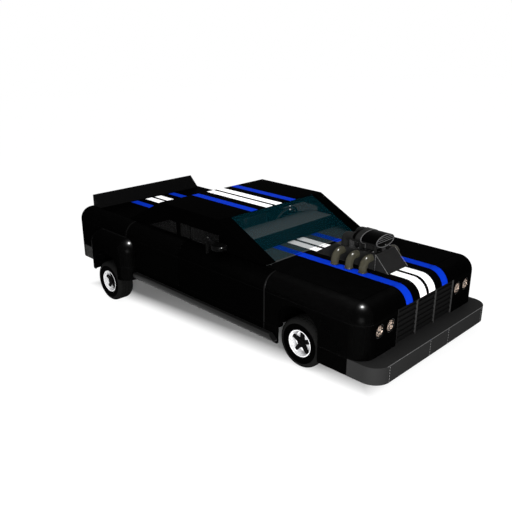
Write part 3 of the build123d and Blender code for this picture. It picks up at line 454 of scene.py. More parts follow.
def seam_lines(make, x, places):
    """1 on thin lines across the body at the given places behind the nose plane."""
    ramp = make.node("ShaderNodeValToRGB")
    ramp.color_ramp.interpolation = "CONSTANT"
    stops = ramp.color_ramp.elements
    stops[0].position = 0
    stops[0].color = (0, 0, 0, 1)
    stops.remove(stops[1])
    for place in places:
        for edge, shade in ((place - SEAM, 1), (place + SEAM, 0)):
            stops.new(edge / BODY_LONG).color = (shade, shade, shade, 1)
    make.link(make.math("DIVIDE", x, -BODY_LONG), ramp.inputs[0])
    return ramp.outputs[0]


def body_paint(name, settings, stripes_above=None, tint=None, bumper_end=False):
    """Gloss paint with thin panel seams and, above a height, the white and blue stripes; a tint, where
    given, paints that region a flat grey, which on the cowl is painted light.
    """
    make = Finish(name, MODULE, IOR=settings.paint_ior, Metallic=BLACK_METAL, Specular_Tint=UNTINTED)
    x, y, z = make.axes()
    out = make.size(y)
    black = tuple(settings.body_colour)
    colour = make.blend(make.noise(3.0), black, tuple(c * 1.7 for c in black))
    arcs, walls = seam_lines(make, x, SHOULDER_SEAMS), seam_lines(make, x, WALL_SEAMS)
    upright = make.blend(make.below(z, SHOULDER), arcs, walls)
    seam = make.times(upright, make.above(out, SIDE_START))
    for level in (SHOULDER, BUMPER_LINE):
        line = make.below(make.size(make.minus(z, level)), SEAM)
        seam = make.larger(seam, make.times(line, 0.5))
    colour = make.blend(make.times(seam, 0.7), colour, tuple(settings.seam_colour))
    if stripes_above is not None:
        region = make.times(make.above(z, stripes_above), make.above(x, STRIPES_END))
        # a given tint is painted light: a flat grey standing for light falling on the cowl top through the
        # windscreen
        colour = make.blend(region, colour, black if tint is None else tint)
        white = make.times(make.between(out, *WHITE_BAND), region)
        blue = make.times(make.between(out, *BLUE_BAND), region)
        colour = make.blend(white, colour, tuple(settings.stripe_white))
        colour = make.blend(blue, colour, tuple(settings.stripe_blue))
        striped = make.plus(white, blue) if tint is None else region
        make.metal(make.times(make.minus(1.0, striped), BLACK_METAL))
    if bumper_end:
        low = make.times(make.below(z, BUMPER_LINE), make.below(x, BUMPER_END))
        colour = make.blend(low, colour, BUMPER_GREY)
        make.metal(make.times(make.minus(1.0, low), BLACK_METAL))
    make.colour(colour)
    make.rough(make.spread(make.noise(1.4), 0.2, 0.3))
    fine = make.times(make.noise(60.0, 2.0), 0.05)
    make.bump(make.plus(make.times(seam, -1.0), fine), 0.25, 0.001)
    return make.material


def glass_finish(name, tint, cover, streaks=False):
    """Tinted glass that covers what is behind it by a share, cloudy or with upright streaks."""
    make = Finish(name, IOR=1.01, Roughness=0.04, Alpha=cover)
    waves, lighter = make.noise(2.0), 1.12
    if streaks:
        x, y, z = make.axes()
        stretched = make.fed("ShaderNodeCombineXYZ", {0: make.times(x, 22.0), 2: make.times(z, 1.2)})
        waves, lighter = make.noise(1.0, 2.0, stretched.outputs[0]), 2.5
    make.colour(make.blend(waves, tint, tuple(c * lighter for c in tint)))
    make.bump(make.noise(6.0, 1.0), 0.02, 0.001)
    return make.material


def from_axle(make, x, z):
    """Distance from an axle, in millimetres, of a place given in millimetres."""
    across, out, up = make.axes()
    run = make.plus(across, x)
    rise = make.minus(up, z)
    return make.math("SQRT", make.plus(make.times(run, run), make.times(rise, rise)))


def rubber_finish(name, x, z):
    """Tyre rubber: near black inside, with the shoulder and tread painted a mottled grey that stands for
    light on the rounded shoulder.
    """
    make = Finish(name, MM, IOR=1.04)
    shoulder_mottle = make.noise(0.03)
    lit_shoulder_grey = make.blend(shoulder_mottle, 0.005, (0.009, 0.009, 0.0088))
    # painted light: beyond this radius the rubber is painted grey as the lit rounding of the shoulder
    shoulder = make.above(from_axle(make, x, z), SHOULDER_R)
    return make.finished(make.blend(shoulder, 0.0003, lit_shoulder_grey), (0.09, 0.55, 0.85), (0.4, 0.4, 0.0006))


def rim_finish(name, x, z, face):
    """Bright barrel and disc behind spokes and hub painted near black as shaded."""
    make = Finish(name, MM, IOR=1.05)
    outer = make.above(make.size(make.axes()[1]), face - SPOKES_DEEP)
    # painted shade: the spokes and hub, the same bright metal as the barrel, are painted near black
    shaded_spokes = make.times(outer, make.below(from_axle(make, x, z), SPOKES_R))
    cloud = make.noise(0.02)
    bright = make.blend(cloud, (0.86, 0.86, 0.87), (0.95, 0.95, 0.96))
    make.metal(make.times(make.minus(1.0, shaded_spokes), BARREL_METAL))
    return make.finished(make.blend(shaded_spokes, bright, 0.003), (0.06, 0.2, 0.35), (0.2, 0.05, 0.0005))


def weave_finish():
    """Diagonal carbon weave under a satin coat."""
    make = Finish("carbon weave", IOR=1.03)
    x, y, z = make.axes()
    height = make.plus(make.times(z, 2.2), x)
    one = make.math("SINE", make.times(make.plus(y, height), 420.0))
    two = make.math("SINE", make.times(make.minus(y, height), 420.0))
    weave = make.spread(make.times(one, two), 0.0, 1.0)
    make.colour(make.blend(weave, 0.0014, (0.006, 0.006, 0.0062)))
    make.rough(make.spread(weave, 0.25, 0.45))
    make.bump(weave, 0.3, 0.0008)
    return make.material


def casting_finish():
    """Dark plinth casting with paler pipes standing beside it."""
    make = Finish("blower casting", MODULE, IOR=1.06)
    x, y, z = make.axes()
    pipes = make.above(make.size(y), 1.0)
    cloud = make.noise(2.0)
    body = make.blend(cloud, (0.007, 0.007, 0.0069), (0.010, 0.010, 0.0098))
    metal = make.blend(cloud, (0.024, 0.0225, 0.0155), (0.036, 0.034, 0.024))
    return make.finished(make.blend(pipes, body, metal), (6.0, 0.18, 0.26), (30.0, 0.12, 0.0008))


def scoop_finish():
    """Scoop: black top, grey underside, a grey strap with a painted highlight on its front edge and painted
    highlights on the lips.
    """
    make = Finish("scoop metal", MM, IOR=1.03)
    x, y, z = make.axes()
    cloud = make.noise(0.02)
    black = make.blend(cloud, 0.0003, 0.0007)
    dull = make.blend(cloud, (0.008, 0.008, 0.0078), (0.014, 0.014, 0.0137))
    pale = make.blend(cloud, 0.07, 0.12)
    top = make.times(make.above(z, SCOOP_SPLIT), make.above(x, SCOOP_REAR))
    colour = make.blend(make.between(x, *STRAP), make.blend(top, dull, black), dull)
    # painted highlights: the strap's front edge and the lips at the mouth are painted pale
    lip_highlights = make.larger(make.between(x, *STRAP_HIGHLIGHT), make.above(x, SCOOP_MOUTH))
    return make.finished(make.blend(lip_highlights, colour, pale), (0.05, 0.25, 0.4), (0.2, 0.2, 0.0006))


def bumper_finish():
    """Satin grey bumper with painted highlights: broken pale lines on the joints and a pale upper front
    edge.
    """
    make = Finish("bumper satin", MODULE, IOR=1.05, Metallic=0.5, Specular_Tint=UNTINTED)
    x, y, z = make.axes()
    out = make.size(y)
    # painted highlights: bevel glints on the joints and the upper front edge are painted pale
    joint_highlights = make.larger(make.between(out, 0.985, 1.015), make.between(out, 4.985, 5.015))
    dashes = make.above(make.math("SINE", make.times(make.plus(z, x), 38.0)), -0.3)
    joint_highlights = make.times(make.times(joint_highlights, dashes), make.above(x, 0.97))
    edge = make.times(make.above(z, BUMPER_LINE - 0.02), make.above(x, 0.975))
    pale = make.larger(joint_highlights, make.times(edge, 0.5))
    satin = make.blend(make.noise(0.5), BUMPER_GREY, 0.032)
    return make.finished(make.blend(pale, satin, 0.3), (1.5, 0.42, 0.5), (8.0, 0.1, 0.0006))


def dash_finish():
    """Dark dashboard whose top is painted pale as lit from above through the windscreen."""
    make = Finish("dash trim", MM, IOR=1.1)
    # painted light: the pale top stands for light falling on it through the windscreen
    lit_top = make.above(make.axes()[2], DASH_TOP - 4.0)
    cloud = make.noise(0.01)
    dark = make.blend(cloud, 0.0008, 0.0014)
    pale = make.blend(cloud, (0.048, 0.05, 0.05), (0.062, 0.064, 0.064))
    return make.finished(make.blend(lit_top, dark, pale), (0.05, 0.45, 0.6), (0.3, 0.3, 0.0006))


def side_pipe_finish():
    """Dark side pipe with a painted highlight as a pale band along its lower edge."""
    make = Finish("side pipe steel", MM, Metallic=0.3, IOR=1.3)
    # painted highlight: a pale band where the pipe's lower rounding catches the light
    low = make.between(make.axes()[2], *PIPE_HIGHLIGHT)
    steel = make.blend(make.noise(0.02), 0.005, 0.008)
    return make.finished(make.blend(low, steel, 0.05), (0.05, 0.3, 0.42), (0.3, 0.15, 0.0006))


def grille_finish():
    """Dark slats with paler posts in front of them."""
    make = Finish("grille plastic", MM, IOR=1.03)
    x, y, z = make.axes()
    out = make.size(y)
    posts = make.larger(make.between(out, *INNER_POST), make.between(out, *OUTER_POST))
    posts = make.times(posts, make.above(x, POST_BACK))
    cloud = make.noise(0.03)
    slats = make.blend(cloud, 0.0045, 0.0065)
    pale = make.blend(cloud, 0.028, 0.045)
    return make.finished(make.blend(posts, slats, pale), (0.05, 0.4, 0.6), (0.3, 0.15, 0.0006))


def reflector_finish():
    """Warm dimpled lamp reflector with dark gaps between its bright cells."""
    make = Finish("lamp reflector", Metallic=0.35, IOR=1.5)
    placed = {"Vector": make.here, "Scale": 52.0}
    cells = make.fed("ShaderNodeTexVoronoi", placed, feature="DISTANCE_TO_EDGE")
    grain = make.times(make.noise(130.0), 0.012)
    edge = make.above(cells.outputs["Distance"], make.plus(grain, 0.12))
    make.colour(make.blend(edge, (0.004, 0.0035, 0.003), (0.5, 0.38, 0.3)))
    make.rough(make.spread(make.noise(80.0), 0.15, 0.4))
    make.bump(cells.outputs["Distance"], 0.6, 0.004)
    return make.material


# ---- settings a user would change ----
def colour_setting(name, text, value):
    return bpy.props.FloatVectorProperty(name=name, description=text, subtype="COLOR", size=3, min=0, max=1,
                                         default=value)


def cover_setting(name, text, value):
    return bpy.props.FloatProperty(name=name, description=text, subtype="FACTOR", default=value, min=0,
                                   max=1)


def power_setting(name, text, value):
    return bpy.props.FloatProperty(name=name, description=text, subtype="POWER", unit="POWER", default=value,
                                   min=0)


class MuscleCarPaint(bpy.types.PropertyGroup):
    body_colour: colour_setting("Body", "Body paint", grey(0.0011))
    seam_colour: colour_setting("Seams", "Thin lines where panels meet", grey(0.012))
    stripe_white: colour_setting("White stripe", "Pair of stripes beside the centre line", grey(0.96))
    stripe_blue: colour_setting("Blue stripe", "Outer pair of stripes", (0.002, 0.024, 0.37))
    paint_ior: bpy.props.FloatProperty(name="Paint gloss", description="Refractive index of the paint",
                                       default=1.01, min=1.0, max=2.0)


class MuscleCarGlass(bpy.types.PropertyGroup):
    screen_tint: colour_setting("Screen tint", "Windscreen and rear window", (0.001, 0.02, 0.027))
    screen_cover: cover_setting("Screen cover", "How much the screen hides", 0.22)
    side_tint: colour_setting("Side tint", "Side windows", grey(0.0032))
    side_cover: cover_setting("Side cover", "How much the side windows hide", 0.82)


class MuscleCarWheels(bpy.types.PropertyGroup):
    steps: bpy.props.IntProperty(name="Tread steps", description="Divisions round a tyre", default=144,
                                 min=48)
    sipe_every: bpy.props.IntProperty(name="Sipe spacing", default=4, min=2,
                                      description="Divisions from one cross groove to the next")
    sipe_depth: bpy.props.FloatProperty(name="Sipe depth", description="Depth of the cross grooves",
                                        subtype="DISTANCE", unit="LENGTH", default=0.005, min=0)


class MuscleCarStudio(bpy.types.PropertyGroup):
    front_power: power_setting("Front lamp", "Power of the lamp ahead of the car", 650.0)
    soft_power: power_setting("Soft lamp", "Power of the large overhead lamp", 290.0)
    spark_power: power_setting("Highlight lamp", "Power of the paint's highlights", 60000.0)
    sky: bpy.props.FloatProperty(name="Sky", description="Strength of the surrounding light", default=0.5,
                                 min=0)


class MuscleCarSettings(bpy.types.PropertyGroup):
    paint: bpy.props.PointerProperty(type=MuscleCarPaint)
    glass: bpy.props.PointerProperty(type=MuscleCarGlass)
    wheels: bpy.props.PointerProperty(type=MuscleCarWheels)
    studio: bpy.props.PointerProperty(type=MuscleCarStudio)


def cad(*names):
    return [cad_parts[name] for name in names]


def coat(finish, *names):
    for obj in cad(*names):
        dress(obj, finish)


# ---- one operator for each group of pieces ----
class MUSCLECAR_OT_panels(bpy.types.Operator):
    """Paint the body panels, bumpers and trim"""
    bl_idname = "muscle_car.panels"
    bl_label = "Paint panels"

    def execute(self, context):
        paint = context.scene.muscle_car.paint
        coat(body_paint("body paint", paint), "wing_left", "wing_right", "door_left", "door_right",
             "tail_panel", "sills")
        coat(body_paint("quarter paint", paint, bumper_end=True), "quarter_left", "quarter_right")
        coat(body_paint("bonnet paint", paint, stripes_above=-0.03), "bonnet", "boot_lid")
        coat(body_paint("nose paint", paint, stripes_above=-0.86), "nose_panel")
        coat(body_paint("roof paint", paint, stripes_above=1.97), "roof_shell")
        # the cowl's grey tint is painted light from above through the windscreen, the paint itself being
        # black
        cowl = body_paint("cowl paint", paint, stripes_above=-0.03, tint=(0.035, 0.038, 0.038))
        coat(cowl, "firewall")
        under = cloudy("underbody", 0.004, (0.012, 0.012, 0.011), (0.6, 0.85), 5, 0.3)
        coat(under, "floor_pan", "fuel_tank")
        coat(bumper_finish(), "bumpers")
        coat(grille_finish(), "grille")
        coat(casting_finish(), "blower_housing")
        coat(scoop_finish(), "scoop")
        coat(side_pipe_finish(), "side_pipes")
        mirror = cloudy("black gloss trim", 0.0008, 0.002, (0.12, 0.2), 6, 0.05, ior=1.06)
        coat(mirror, "mirror_left", "mirror_right")
        coat(weave_finish(), "spoiler")
        return {"FINISHED"}


class MUSCLECAR_OT_glazing(bpy.types.Operator):
    """Glaze the windscreen, rear window and side windows"""
    bl_idname = "muscle_car.glazing"
    bl_label = "Glaze windows"

    def execute(self, context):
        glass = context.scene.muscle_car.glass
        coat(glass_finish("screen glass", tuple(glass.screen_tint), glass.screen_cover), "windscreen")
        coat(glass_finish("side glass", tuple(glass.side_tint), glass.side_cover, streaks=True),
             "rear_glass", "door_glass_left", "door_glass_right")
        return {"FINISHED"}


# a tyre's section as places across it and from the axle, from the bead to the middle of the tread
RIB = ((95.5, 148), (98.5, 152), (98.5, 156), (95.5, 160))
WALL = ((95.5, 188), (100, 192), (102.5, 202.5), (99.8, 217.9), (92, 231.4), (80, 241.5), (66, 246.4),
        (64, 241), (57, 241), (55, 247.3), (30, 247.5), (28, 239), (20, 239), (18, 247.5))
BEAD = (95.5, 134)
INNER_WALL = [(-across, radius) for across, radius in reversed(WALL)]
TYRE_OUTLINE = (BEAD, *RIB, *WALL, *INNER_WALL, (-95.5, 134), BEAD)
TYRE_HALF = 102.5
TREAD_R = 0.2425
TREAD_EDGE = 0.075
TREAD_MIDDLE = 0.03


class MUSCLECAR_OT_tyres(bpy.types.Operator):
    """Fit tyres with grooves, sipes and a ribbed sidewall"""
    bl_idname = "muscle_car.tyres"
    bl_label = "Fit tyres"

    def execute(self, context):
        wheels = context.scene.muscle_car.wheels
        for end, x, z, face in WHEELS:
            rubber = rubber_finish(f"tyre rubber {end}", x, z)
            middle = face - TYRE_HALF
            outline = [(middle + across, radius) for across, radius in TYRE_OUTLINE]
            tyre = spun(outline, x, z, wheels.steps)
            hub = spot(x, middle, z)

            def on_rib(f):
                run = f.calc_center_median() - hub
                sector = int((math.atan2(run.z, run.x) / (2 * math.pi) + 0.5) * wheels.steps)
                if abs(run.y) >= TREAD_MIDDLE:
                    sector += 2
                on_tread = math.hypot(run.x, run.z) > TREAD_R and abs(run.y) < TREAD_EDGE
                return on_tread and sector % wheels.sipe_every == 0

            pick(tyre, on_rib)
            groove = {"value": -wheels.sipe_depth}
            bpy.ops.mesh.extrude_region_shrink_fatten(TRANSFORM_OT_shrink_fatten=groove)
            bpy.ops.object.mode_set(mode="OBJECT")
            both_sides(tyre, f"tread_tyre_{end}", end + "_wheel_{side}", rubber, 30,
                       f"tyre_{end}_" + "{side}")
        return {"FINISHED"}


class MUSCLECAR_OT_rims(bpy.types.Operator):
    """Polish the rims and add caps, nuts and lips"""
    bl_idname = "muscle_car.rims"
    bl_label = "Finish rims"

    def execute(self, context):
        for end, x, z, face in WHEELS:
            chrome = rim_finish(f"rim chrome {end}", x, z, face)
            parts = [
                hoop(130, 3.5, (x, face - 9, z), (0, 1, 0), 72, 10),
                rod(17, (x, face - 24, z), (x, face - 12, z), 3, 24, tip=13),
            ]
            for i in range(5):
                turn = 2 * math.pi * (i + 0.5) / 5
                across = (x + 29 * math.cos(turn), face - 24, z + 29 * math.sin(turn))
                parts.append(rod(5.5, across, (across[0], face - 13, across[2]), 1, 6, tip=4.5))
            coat(chrome, f"rim_{end}_left", f"rim_{end}_right")
            both_sides(joined(parts), f"rim_trim_{end}", end + "_wheel_{side}", chrome)
        return {"FINISHED"}


class MUSCLECAR_OT_lamps(bpy.types.Operator):
    """Fit reflectors and lenses in the lamps"""
    bl_idname = "muscle_car.lamps"
    bl_label = "Fit lamps"

    def execute(self, context):
        reflector = reflector_finish()
        shell = cloudy("lamp shell", 0.003, 0.006, (0.3, 0.5), 20, 0.1)
        coat(shell, "headlamps")
        bowls = []
        for y in (590, 755, -590, -755):
            bowl = dome(50, (13, y, -262), (1, 0, 0), 0.33, 40, 20)
            edge = spot(13, y, -262).x + 0.0002
            pick(bowl, lambda v: v.co.x > edge, "VERT")
            bpy.ops.mesh.delete(type="VERT")
            bpy.ops.object.mode_set(mode="OBJECT")
            wall = bowl.modifiers.new("wall", "SOLIDIFY")
            wall.thickness = 0.0012
            apply_modifiers(bowl)
            bowls.append(bowl)
        fit(joined(bowls), "lamp_reflectors", "body", reflector)
        dark_red, red = (0.22, 0.003, 0.002), (0.36, 0.006, 0.004)
        coat(cloudy("tail lens red", dark_red, red, (0.08, 0.2), 30, 0.3, ior=1.1), "tail_lamps")
        return {"FINISHED"}


VENTS = ((-50, 70), (50, 70), (590, -60), (-690, -60))
DIALS = ((300, 80, 40), (440, 80, 40), (370, 98, 18), (370, 52, 18), (235, 52, 14), (505, 52, 14))


def dash_panels():
    parts = [
        block((1988, 1996), (215, 525), (25, 130)),
        block((1985, 2040), (205, 535), (128, 148), 8, 4),
    ]
    for y in (209, 531):
        parts.append(block((1988, 2030), (y - 5, y + 5), (25, 135), 4))
    parts += [
        block((1988, 1996), (-110, 110), (-125, 100), 4),
        block((1988, 1995), (-600, -200), (-85, 75), 6),
    ]
    for y, z in VENTS:
        for low in (z - 19.5, z - 7.5, z + 4.5, z + 16.5):
            parts.append(block((1990, 2000), (y - 36, y + 36), (low, low + 3), 0.5, 1))
    for y, z in ((-70, -20), (-35, -20), (35, -20), (70, -20), (-60, -85), (60, -85)):
        parts.append(rod(11, (1994, y, z), (2010, y, z), 2, 24, tip=9))
    return parts


def dash_rings():
    parts = [hoop(radius + 2, 2.5, (1998, y, z), (1, 0, 0), 48, 10) for y, z, radius in DIALS]
    for y, z in VENTS:
        for a, b in (((y - 40, y + 40), (z + 23, z + 26)), ((y - 40, y + 40), (z - 26, z - 23)),
                     ((y - 40, y - 37), (z - 26, z + 26)), ((y + 37, y + 40), (z - 26, z + 26))):
            parts.append(block((1989, 2002), a, b, 1, 1))
    return parts + [
        rod(9, (1993, -230, 40), (2001, -230, 40), sides=24),
        block((1995, 1998), (-80, 80), (-66, -44), 1),
    ]


def dials():
    parts = []
    for y, z, radius in DIALS:
        parts += [
            rod(radius, (1995, y, z), (1997.5, y, z), 0.5, 40),
            rod(1.2, (1999, y, z), (1999, y + radius * 0.6, z + radius * 0.5), 0.3, 8),
            rod(3, (1996, y, z), (2001, y, z), 0.5, 16),
        ]
    return parts


def levers():
    parts = [
        rod(45, (2230, 0, -322), (2230, 0, -268), 4, 32, tip=14),
        rod(6, (2230, 0, -275), (2215, 0, -160), 1, 20),
        dome(21, (2213, 0, -150), (0, 0, 1), 1.0),
        rod(9, (2580, 30, -318), (2420, 30, -262), 2, 20),
        rod(14, (2440, 30, -269), (2350, 30, -238), 4, 24),
        block((1338, 1425), (235, 505), (-232, -190), 5),
    ]
    for y, wide in ((270, 28), (370, 28), (470, 22)):
        parts += [
            rod(6, (1405, y, -210), (1600, y, -470), 1, 16),
            wedge(((1570, -500), (1610, -440), (1620, -446), (1580, -506)), (y - wide, y + wide), 3),
        ]
    return parts


def horn_pad():
    lean = math.radians(22)
    middle, out = (2130, 370, 45), (math.cos(lean), math.sin(lean))
    ends = [(middle[0] + out[0] * t, middle[1], middle[2] + out[1] * t) for t in (3, 18)]
    return rod(46, *ends, 5, 48, tip=38)


def door_card():
    return [
        block((1420, 2395), (785.5, 791), (-465, -35)),
        block((2030, 2340), (738, 787), (-238, -198), 12, 4),
        block((1460, 1960), (782.5, 787), (-430, -300)),
    ]


def door_metal():
    return [
        rod(16, (2110, 772, -120), (2110, 787, -120), 2, 24),
        rod(5, (2110, 768, -120), (2165, 760, -100), 1, 16),
        rod(10, (2165, 745, -100), (2165, 765, -100), 3, 20),
        block((2240, 2300), (776, 787), (-118, -98), 3),
        block((2245, 2290), (768, 778), (-112, -104)),
        block((1440, 2380), (782, 787), (-285, -280), 1, 1),
    ]


class MUSCLECAR_OT_cabin(bpy.types.Operator):
    """Trim the dashboard, column and cabin"""
    bl_idname = "muscle_car.cabin"
    bl_label = "Trim cabin"

    def execute(self, context):
        coat(dash_finish(), "dashboard")
        grip = cloudy("wheel grip", 0.004, 0.01, (0.35, 0.5), 60, 0.4)
        coat(grip, "steering_wheel")
        dark = cloudy("dash panel", 0.004, 0.008, (0.35, 0.5), 40, 0.2)
        bright = cloudy("cabin chrome", 0.5, 0.65, (0.1, 0.25), 30, 0.1, metal=0.9)
        ivory = cloudy("dial face", (0.5, 0.5, 0.47), (0.6, 0.6, 0.57), (0.4, 0.5), 50, 0.1)
        fit(joined(dash_panels()), "dash_panels", "body", dark)
        fit(joined(dash_rings()), "dash_rings", "body", bright)
        fit(joined(dials()), "dials", "body", ivory)
        fit(joined(levers()), "levers_and_pedals", "body", dark)
        fit(horn_pad(), "horn_pad", "steering_column", dark)
        card = cloudy("door card", 0.008, 0.014, (0.45, 0.6), 35, 0.5)
        both_sides(joined(door_card()), "door_card", "door_{side}", card)
        both_sides(joined(door_metal()), "door_metal", "door_{side}", bright)
        steel = cloudy("chassis steel", 0.05, (0.09, 0.09, 0.088), (0.35, 0.6), 12, 0.3, metal=0.6)
        coat(steel, "front_crossmember", "rear_axle", "knuckle_left", "knuckle_right")
        iron = cloudy("engine iron", (0.035, 0.036, 0.04), (0.06, 0.062, 0.068), (0.4, 0.6), 16, 0.6,
                      metal=0.3)
        coat(iron, "engine_block")
        return {"FINISHED"}


def covers():
    parts = []
    for sign in (1, -1):
        y = sorted((sign * 95, sign * 215))
        parts.append(block((520, 1085), y, (-96, -56), 9, 4))
        for x in range(575, 1093, 74):
            parts.append(block((x, x + 16), (y[0] + 14, y[1] - 14), (-60, -50), 3))
        parts.append(rod(20, (545, sign * 155, -58), (545, sign * 155, -44), 3, 24))
    return parts + [
        block((560, 1040), (-72, 72), (-96, -62), 8, 3),
        rod(58, (800, 0, -64), (800, 0, -46), 3, 40),
        rod(38, (1105, 0, -92), (1105, 0, -60), 4, 32, tip=30),
    ]


def front_end():
    pulleys = ((86, 0, -430, 48), (58, 0, -230, 40), (42, 165, -300, 32), (42, -165, -300, 32))
    parts = [rod(radius, (438, y, z), (468, y, z), 3, sides) for radius, y, z, sides in pulleys]
    parts.append(rod(26, (380, 0, -290), (472, 0, -290), 2))
    hub = spot(380, 0, -290)
    for i in range(6):
        blade = block((376, 384), (-26, 26), (-270, -115), 3)
        turned = Matrix.Rotation(2 * math.pi * i / 6, 4, "X") @ Matrix.Rotation(0.5, 4, "Z")
        blade.data.transform(Matrix.Translation(hub) @ turned @ Matrix.Translation(-hub))
        parts.append(blade)
    return parts


def radiator():
    parts = [
        block((300, 340), (-290, 290), (-540, -150), 4),
        block((292, 348), (-300, 300), (-152, -112), 10, 4),
        block((292, 348), (-300, 300), (-575, -535), 8, 3),
        rod(18, (320, 170, -114), (320, 170, -96), 3, 24),
    ]
    parts += [block((338, 343), (y - 2, y + 2), (-535, -155), 0) for y in range(-276, 300, 24)]
    return parts + [
        hoop(188, 8, (352, 0, -290), (1, 0, 0), 64, 10),
        block((305, 335), (-515, 515), (-618, -572), 3),
    ]


class MUSCLECAR_OT_engine(bpy.types.Operator):
    """Dress the engine bay and the back of the car"""
    bl_idname = "muscle_car.engine"
    bl_label = "Dress engine bay"

    def execute(self, context):
        alloy = cloudy("rocker cover alloy", 0.2, 0.3, (0.25, 0.4), 30, 0.3, metal=0.8)
        black = cloudy("bay black", 0.006, 0.012, (0.4, 0.6), 40, 0.3)
        fit(joined(covers()), "rocker_covers", "body", alloy)
        fit(joined(front_end()), "pulleys_and_fan", "body", alloy)
        fit(joined(radiator()), "radiator", "body", black)
        plate = cloudy("blank plate", (0.55, 0.55, 0.53), (0.65, 0.65, 0.63), (0.4, 0.55), 30, 0.1)
        board = block((4619.5, 4623), (-152, 152), (-351, -199), 3)
        fit(board, "blank_plate", "body", plate)
        screws = [rod(7, (4622, y, -275), (4627, y, -275), 1.5, 20) for y in (-88.9, 88.9)]
        fit(joined(screws), "plate_screws", "body", alloy)
        return {"FINISHED"}


class MUSCLECAR_OT_trim(bpy.types.Operator):
    """Add rings, bolts, lips and outlets outside"""
    bl_idname = "muscle_car.trim"
    bl_label = "Add small trim"

    def execute(self, context):
        alloy = cloudy("trim alloy", 0.12, 0.2, (0.2, 0.35), 40, 0.2, metal=0.6)
        black = cloudy("ring black", 0.002, 0.004, (0.2, 0.35), 40, 0.1)
        rings = [hoop(41, 5, (x, y, 4), (0, 0, 1), 48, 10) for y in (280, -280) for x in (548, 710, 883)]
        places = [(x, y) for x in (540, 712) for y in (110, -110, 140, -140)]
        bolts = [rod(4.5, (x, y, 168), (x, y, 174), 0.8, 6) for x, y in places]
        bolts.append(dome(7, (498, 0, 222), (1, 0, 0), 0.7))
        beads = []
        for y in (166, -166):
            for start, end in (((492, y, 0), (492, y, 162)), ((492, y, 162), (338, y, 2))):
                beads.append(rod(2.2, start, end, 0.6, 8))
        fit(joined(beads), "plinth_beads", "bonnet_lid", alloy)
        fit(joined(rings), "elbow_rings", "bonnet_lid", black)
        fit(joined(bolts), "scoop_bolts", "bonnet_lid", alloy)
        outlet = rod(20, (3286, 1020, -594), (3292, 1020, -594), 1)
        both_sides(outlet, "pipe_outlet", "body", black)
        return {"FINISHED"}


def front_shell():
    parts = [
        block((2150, 2600), (165, 645), (-520, -478), 14, 4),
        wedge(((2640, -520), (2600, -480), (2752, 112), (2815, 112), (2680, -520)), (170, 640), 12),
    ]
    for y in (215, 595):
        parts += [
            block((2170, 2640), (y - 18, y + 18), (-619, -565), 4),
            *(block((x, x + 40), (y - 12, y + 12), (-570, -515), 3) for x in (2190, 2560)),
        ]
    for y in (365, 445):
        parts.append(rod(7, (2772, y, 100), (2785, y, 160), 1))
    return parts


def bench_shell():
    return [
        block((2962, 3285), (165, 695), (-619, -476), 10),
        wedge(((3285, -476), (3290, -380), (3428, -64), (3428, -476)), (165, 698), 8),
        wedge(((3300, -396), (3300, -370), (3428, -64), (3428, -396)), (0, 170), 8),
    ]


class MUSCLECAR_OT_seats(bpy.types.Operator):
    """Upholster the front seats and the rear bench"""
    bl_idname = "muscle_car.seats"
    bl_label = "Upholster seats"

    def execute(self, context):
        vinyl = cloudy("seat vinyl", (0.01, 0.01, 0.011), (0.018, 0.018, 0.019), (0.4, 0.55), 25, 0.5)
        shell = cloudy("seat shell", 0.006, 0.01, (0.5, 0.7), 30, 0.3)
        coat(vinyl, "seats")
        pads = (
            ("front_cushion", ((2145, -470), (2150, -372), (2555, -398), (2560, -470)), (170, 640), 24, 4),
            ("front_back", ((2580, -385), (2706, 100), (2775, 100), (2655, -400)), (175, 635), 22, 4),
            ("head_rest", ((2735, 135), (2765, 228), (2835, 228), (2812, 135)), (290, 520), 14, 0),
            ("rear_cushion", ((2955, -470), (2960, -382), (3250, -408), (3255, -470)), (170, 680), 22, 4),
            ("rear_back", ((3290, -370), (3378, -82), (3418, -82), (3418, -370)), (18, 685), 18, 6),
        )
        for name, corners, y, swell, channels in pads:
            pad = padded(name, corners, y, swell, channels)
            for piece in both_sides(pad, name, "body", vinyl, 60, "seats"):
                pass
        for parts, name in ((front_shell(), "front_seat_shell"), (bench_shell(), "bench_shell")):
            both_sides(joined(parts), name, "body", shell, replaced="seats")
        middle = block((2950, 3275), (-164, 164), (-397, -378), 6)
        fit(middle, "bench_bridge", "body", vinyl)
        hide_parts("seats")
        return {"FINISHED"}


CAMERA_PLACE = (2.59941, -4.86060, 2.15342)
CAMERA_TURN = 45.0
CAMERA_LIFT = 20.0
CAMERA_WIDE = 45.0
SHADE_LONG = 2.2                # inside these halves the floor shows the car's full shadow
SHADE_WIDE = 0.9
SHADE_FADE = (-0.15, 0.1)
FLOOR_SHOWN = 0.85              # how much of the floor past its shadow is plain white
FLOOR_WHITE = 1.1


def panel_lamp(name, place, target, size, power):
    data = bpy.data.lights.new(name, "AREA")
    data.shape = "DISK"
    data.size = size
    data.energy = power
    lamp = bpy.data.objects.new(name, data)
    bpy.context.collection.objects.link(lamp)
    lamp.location = place
    lamp.rotation_euler = (Vector(target) - Vector(place)).to_track_quat("-Z", "Y").to_euler()
    return lamp


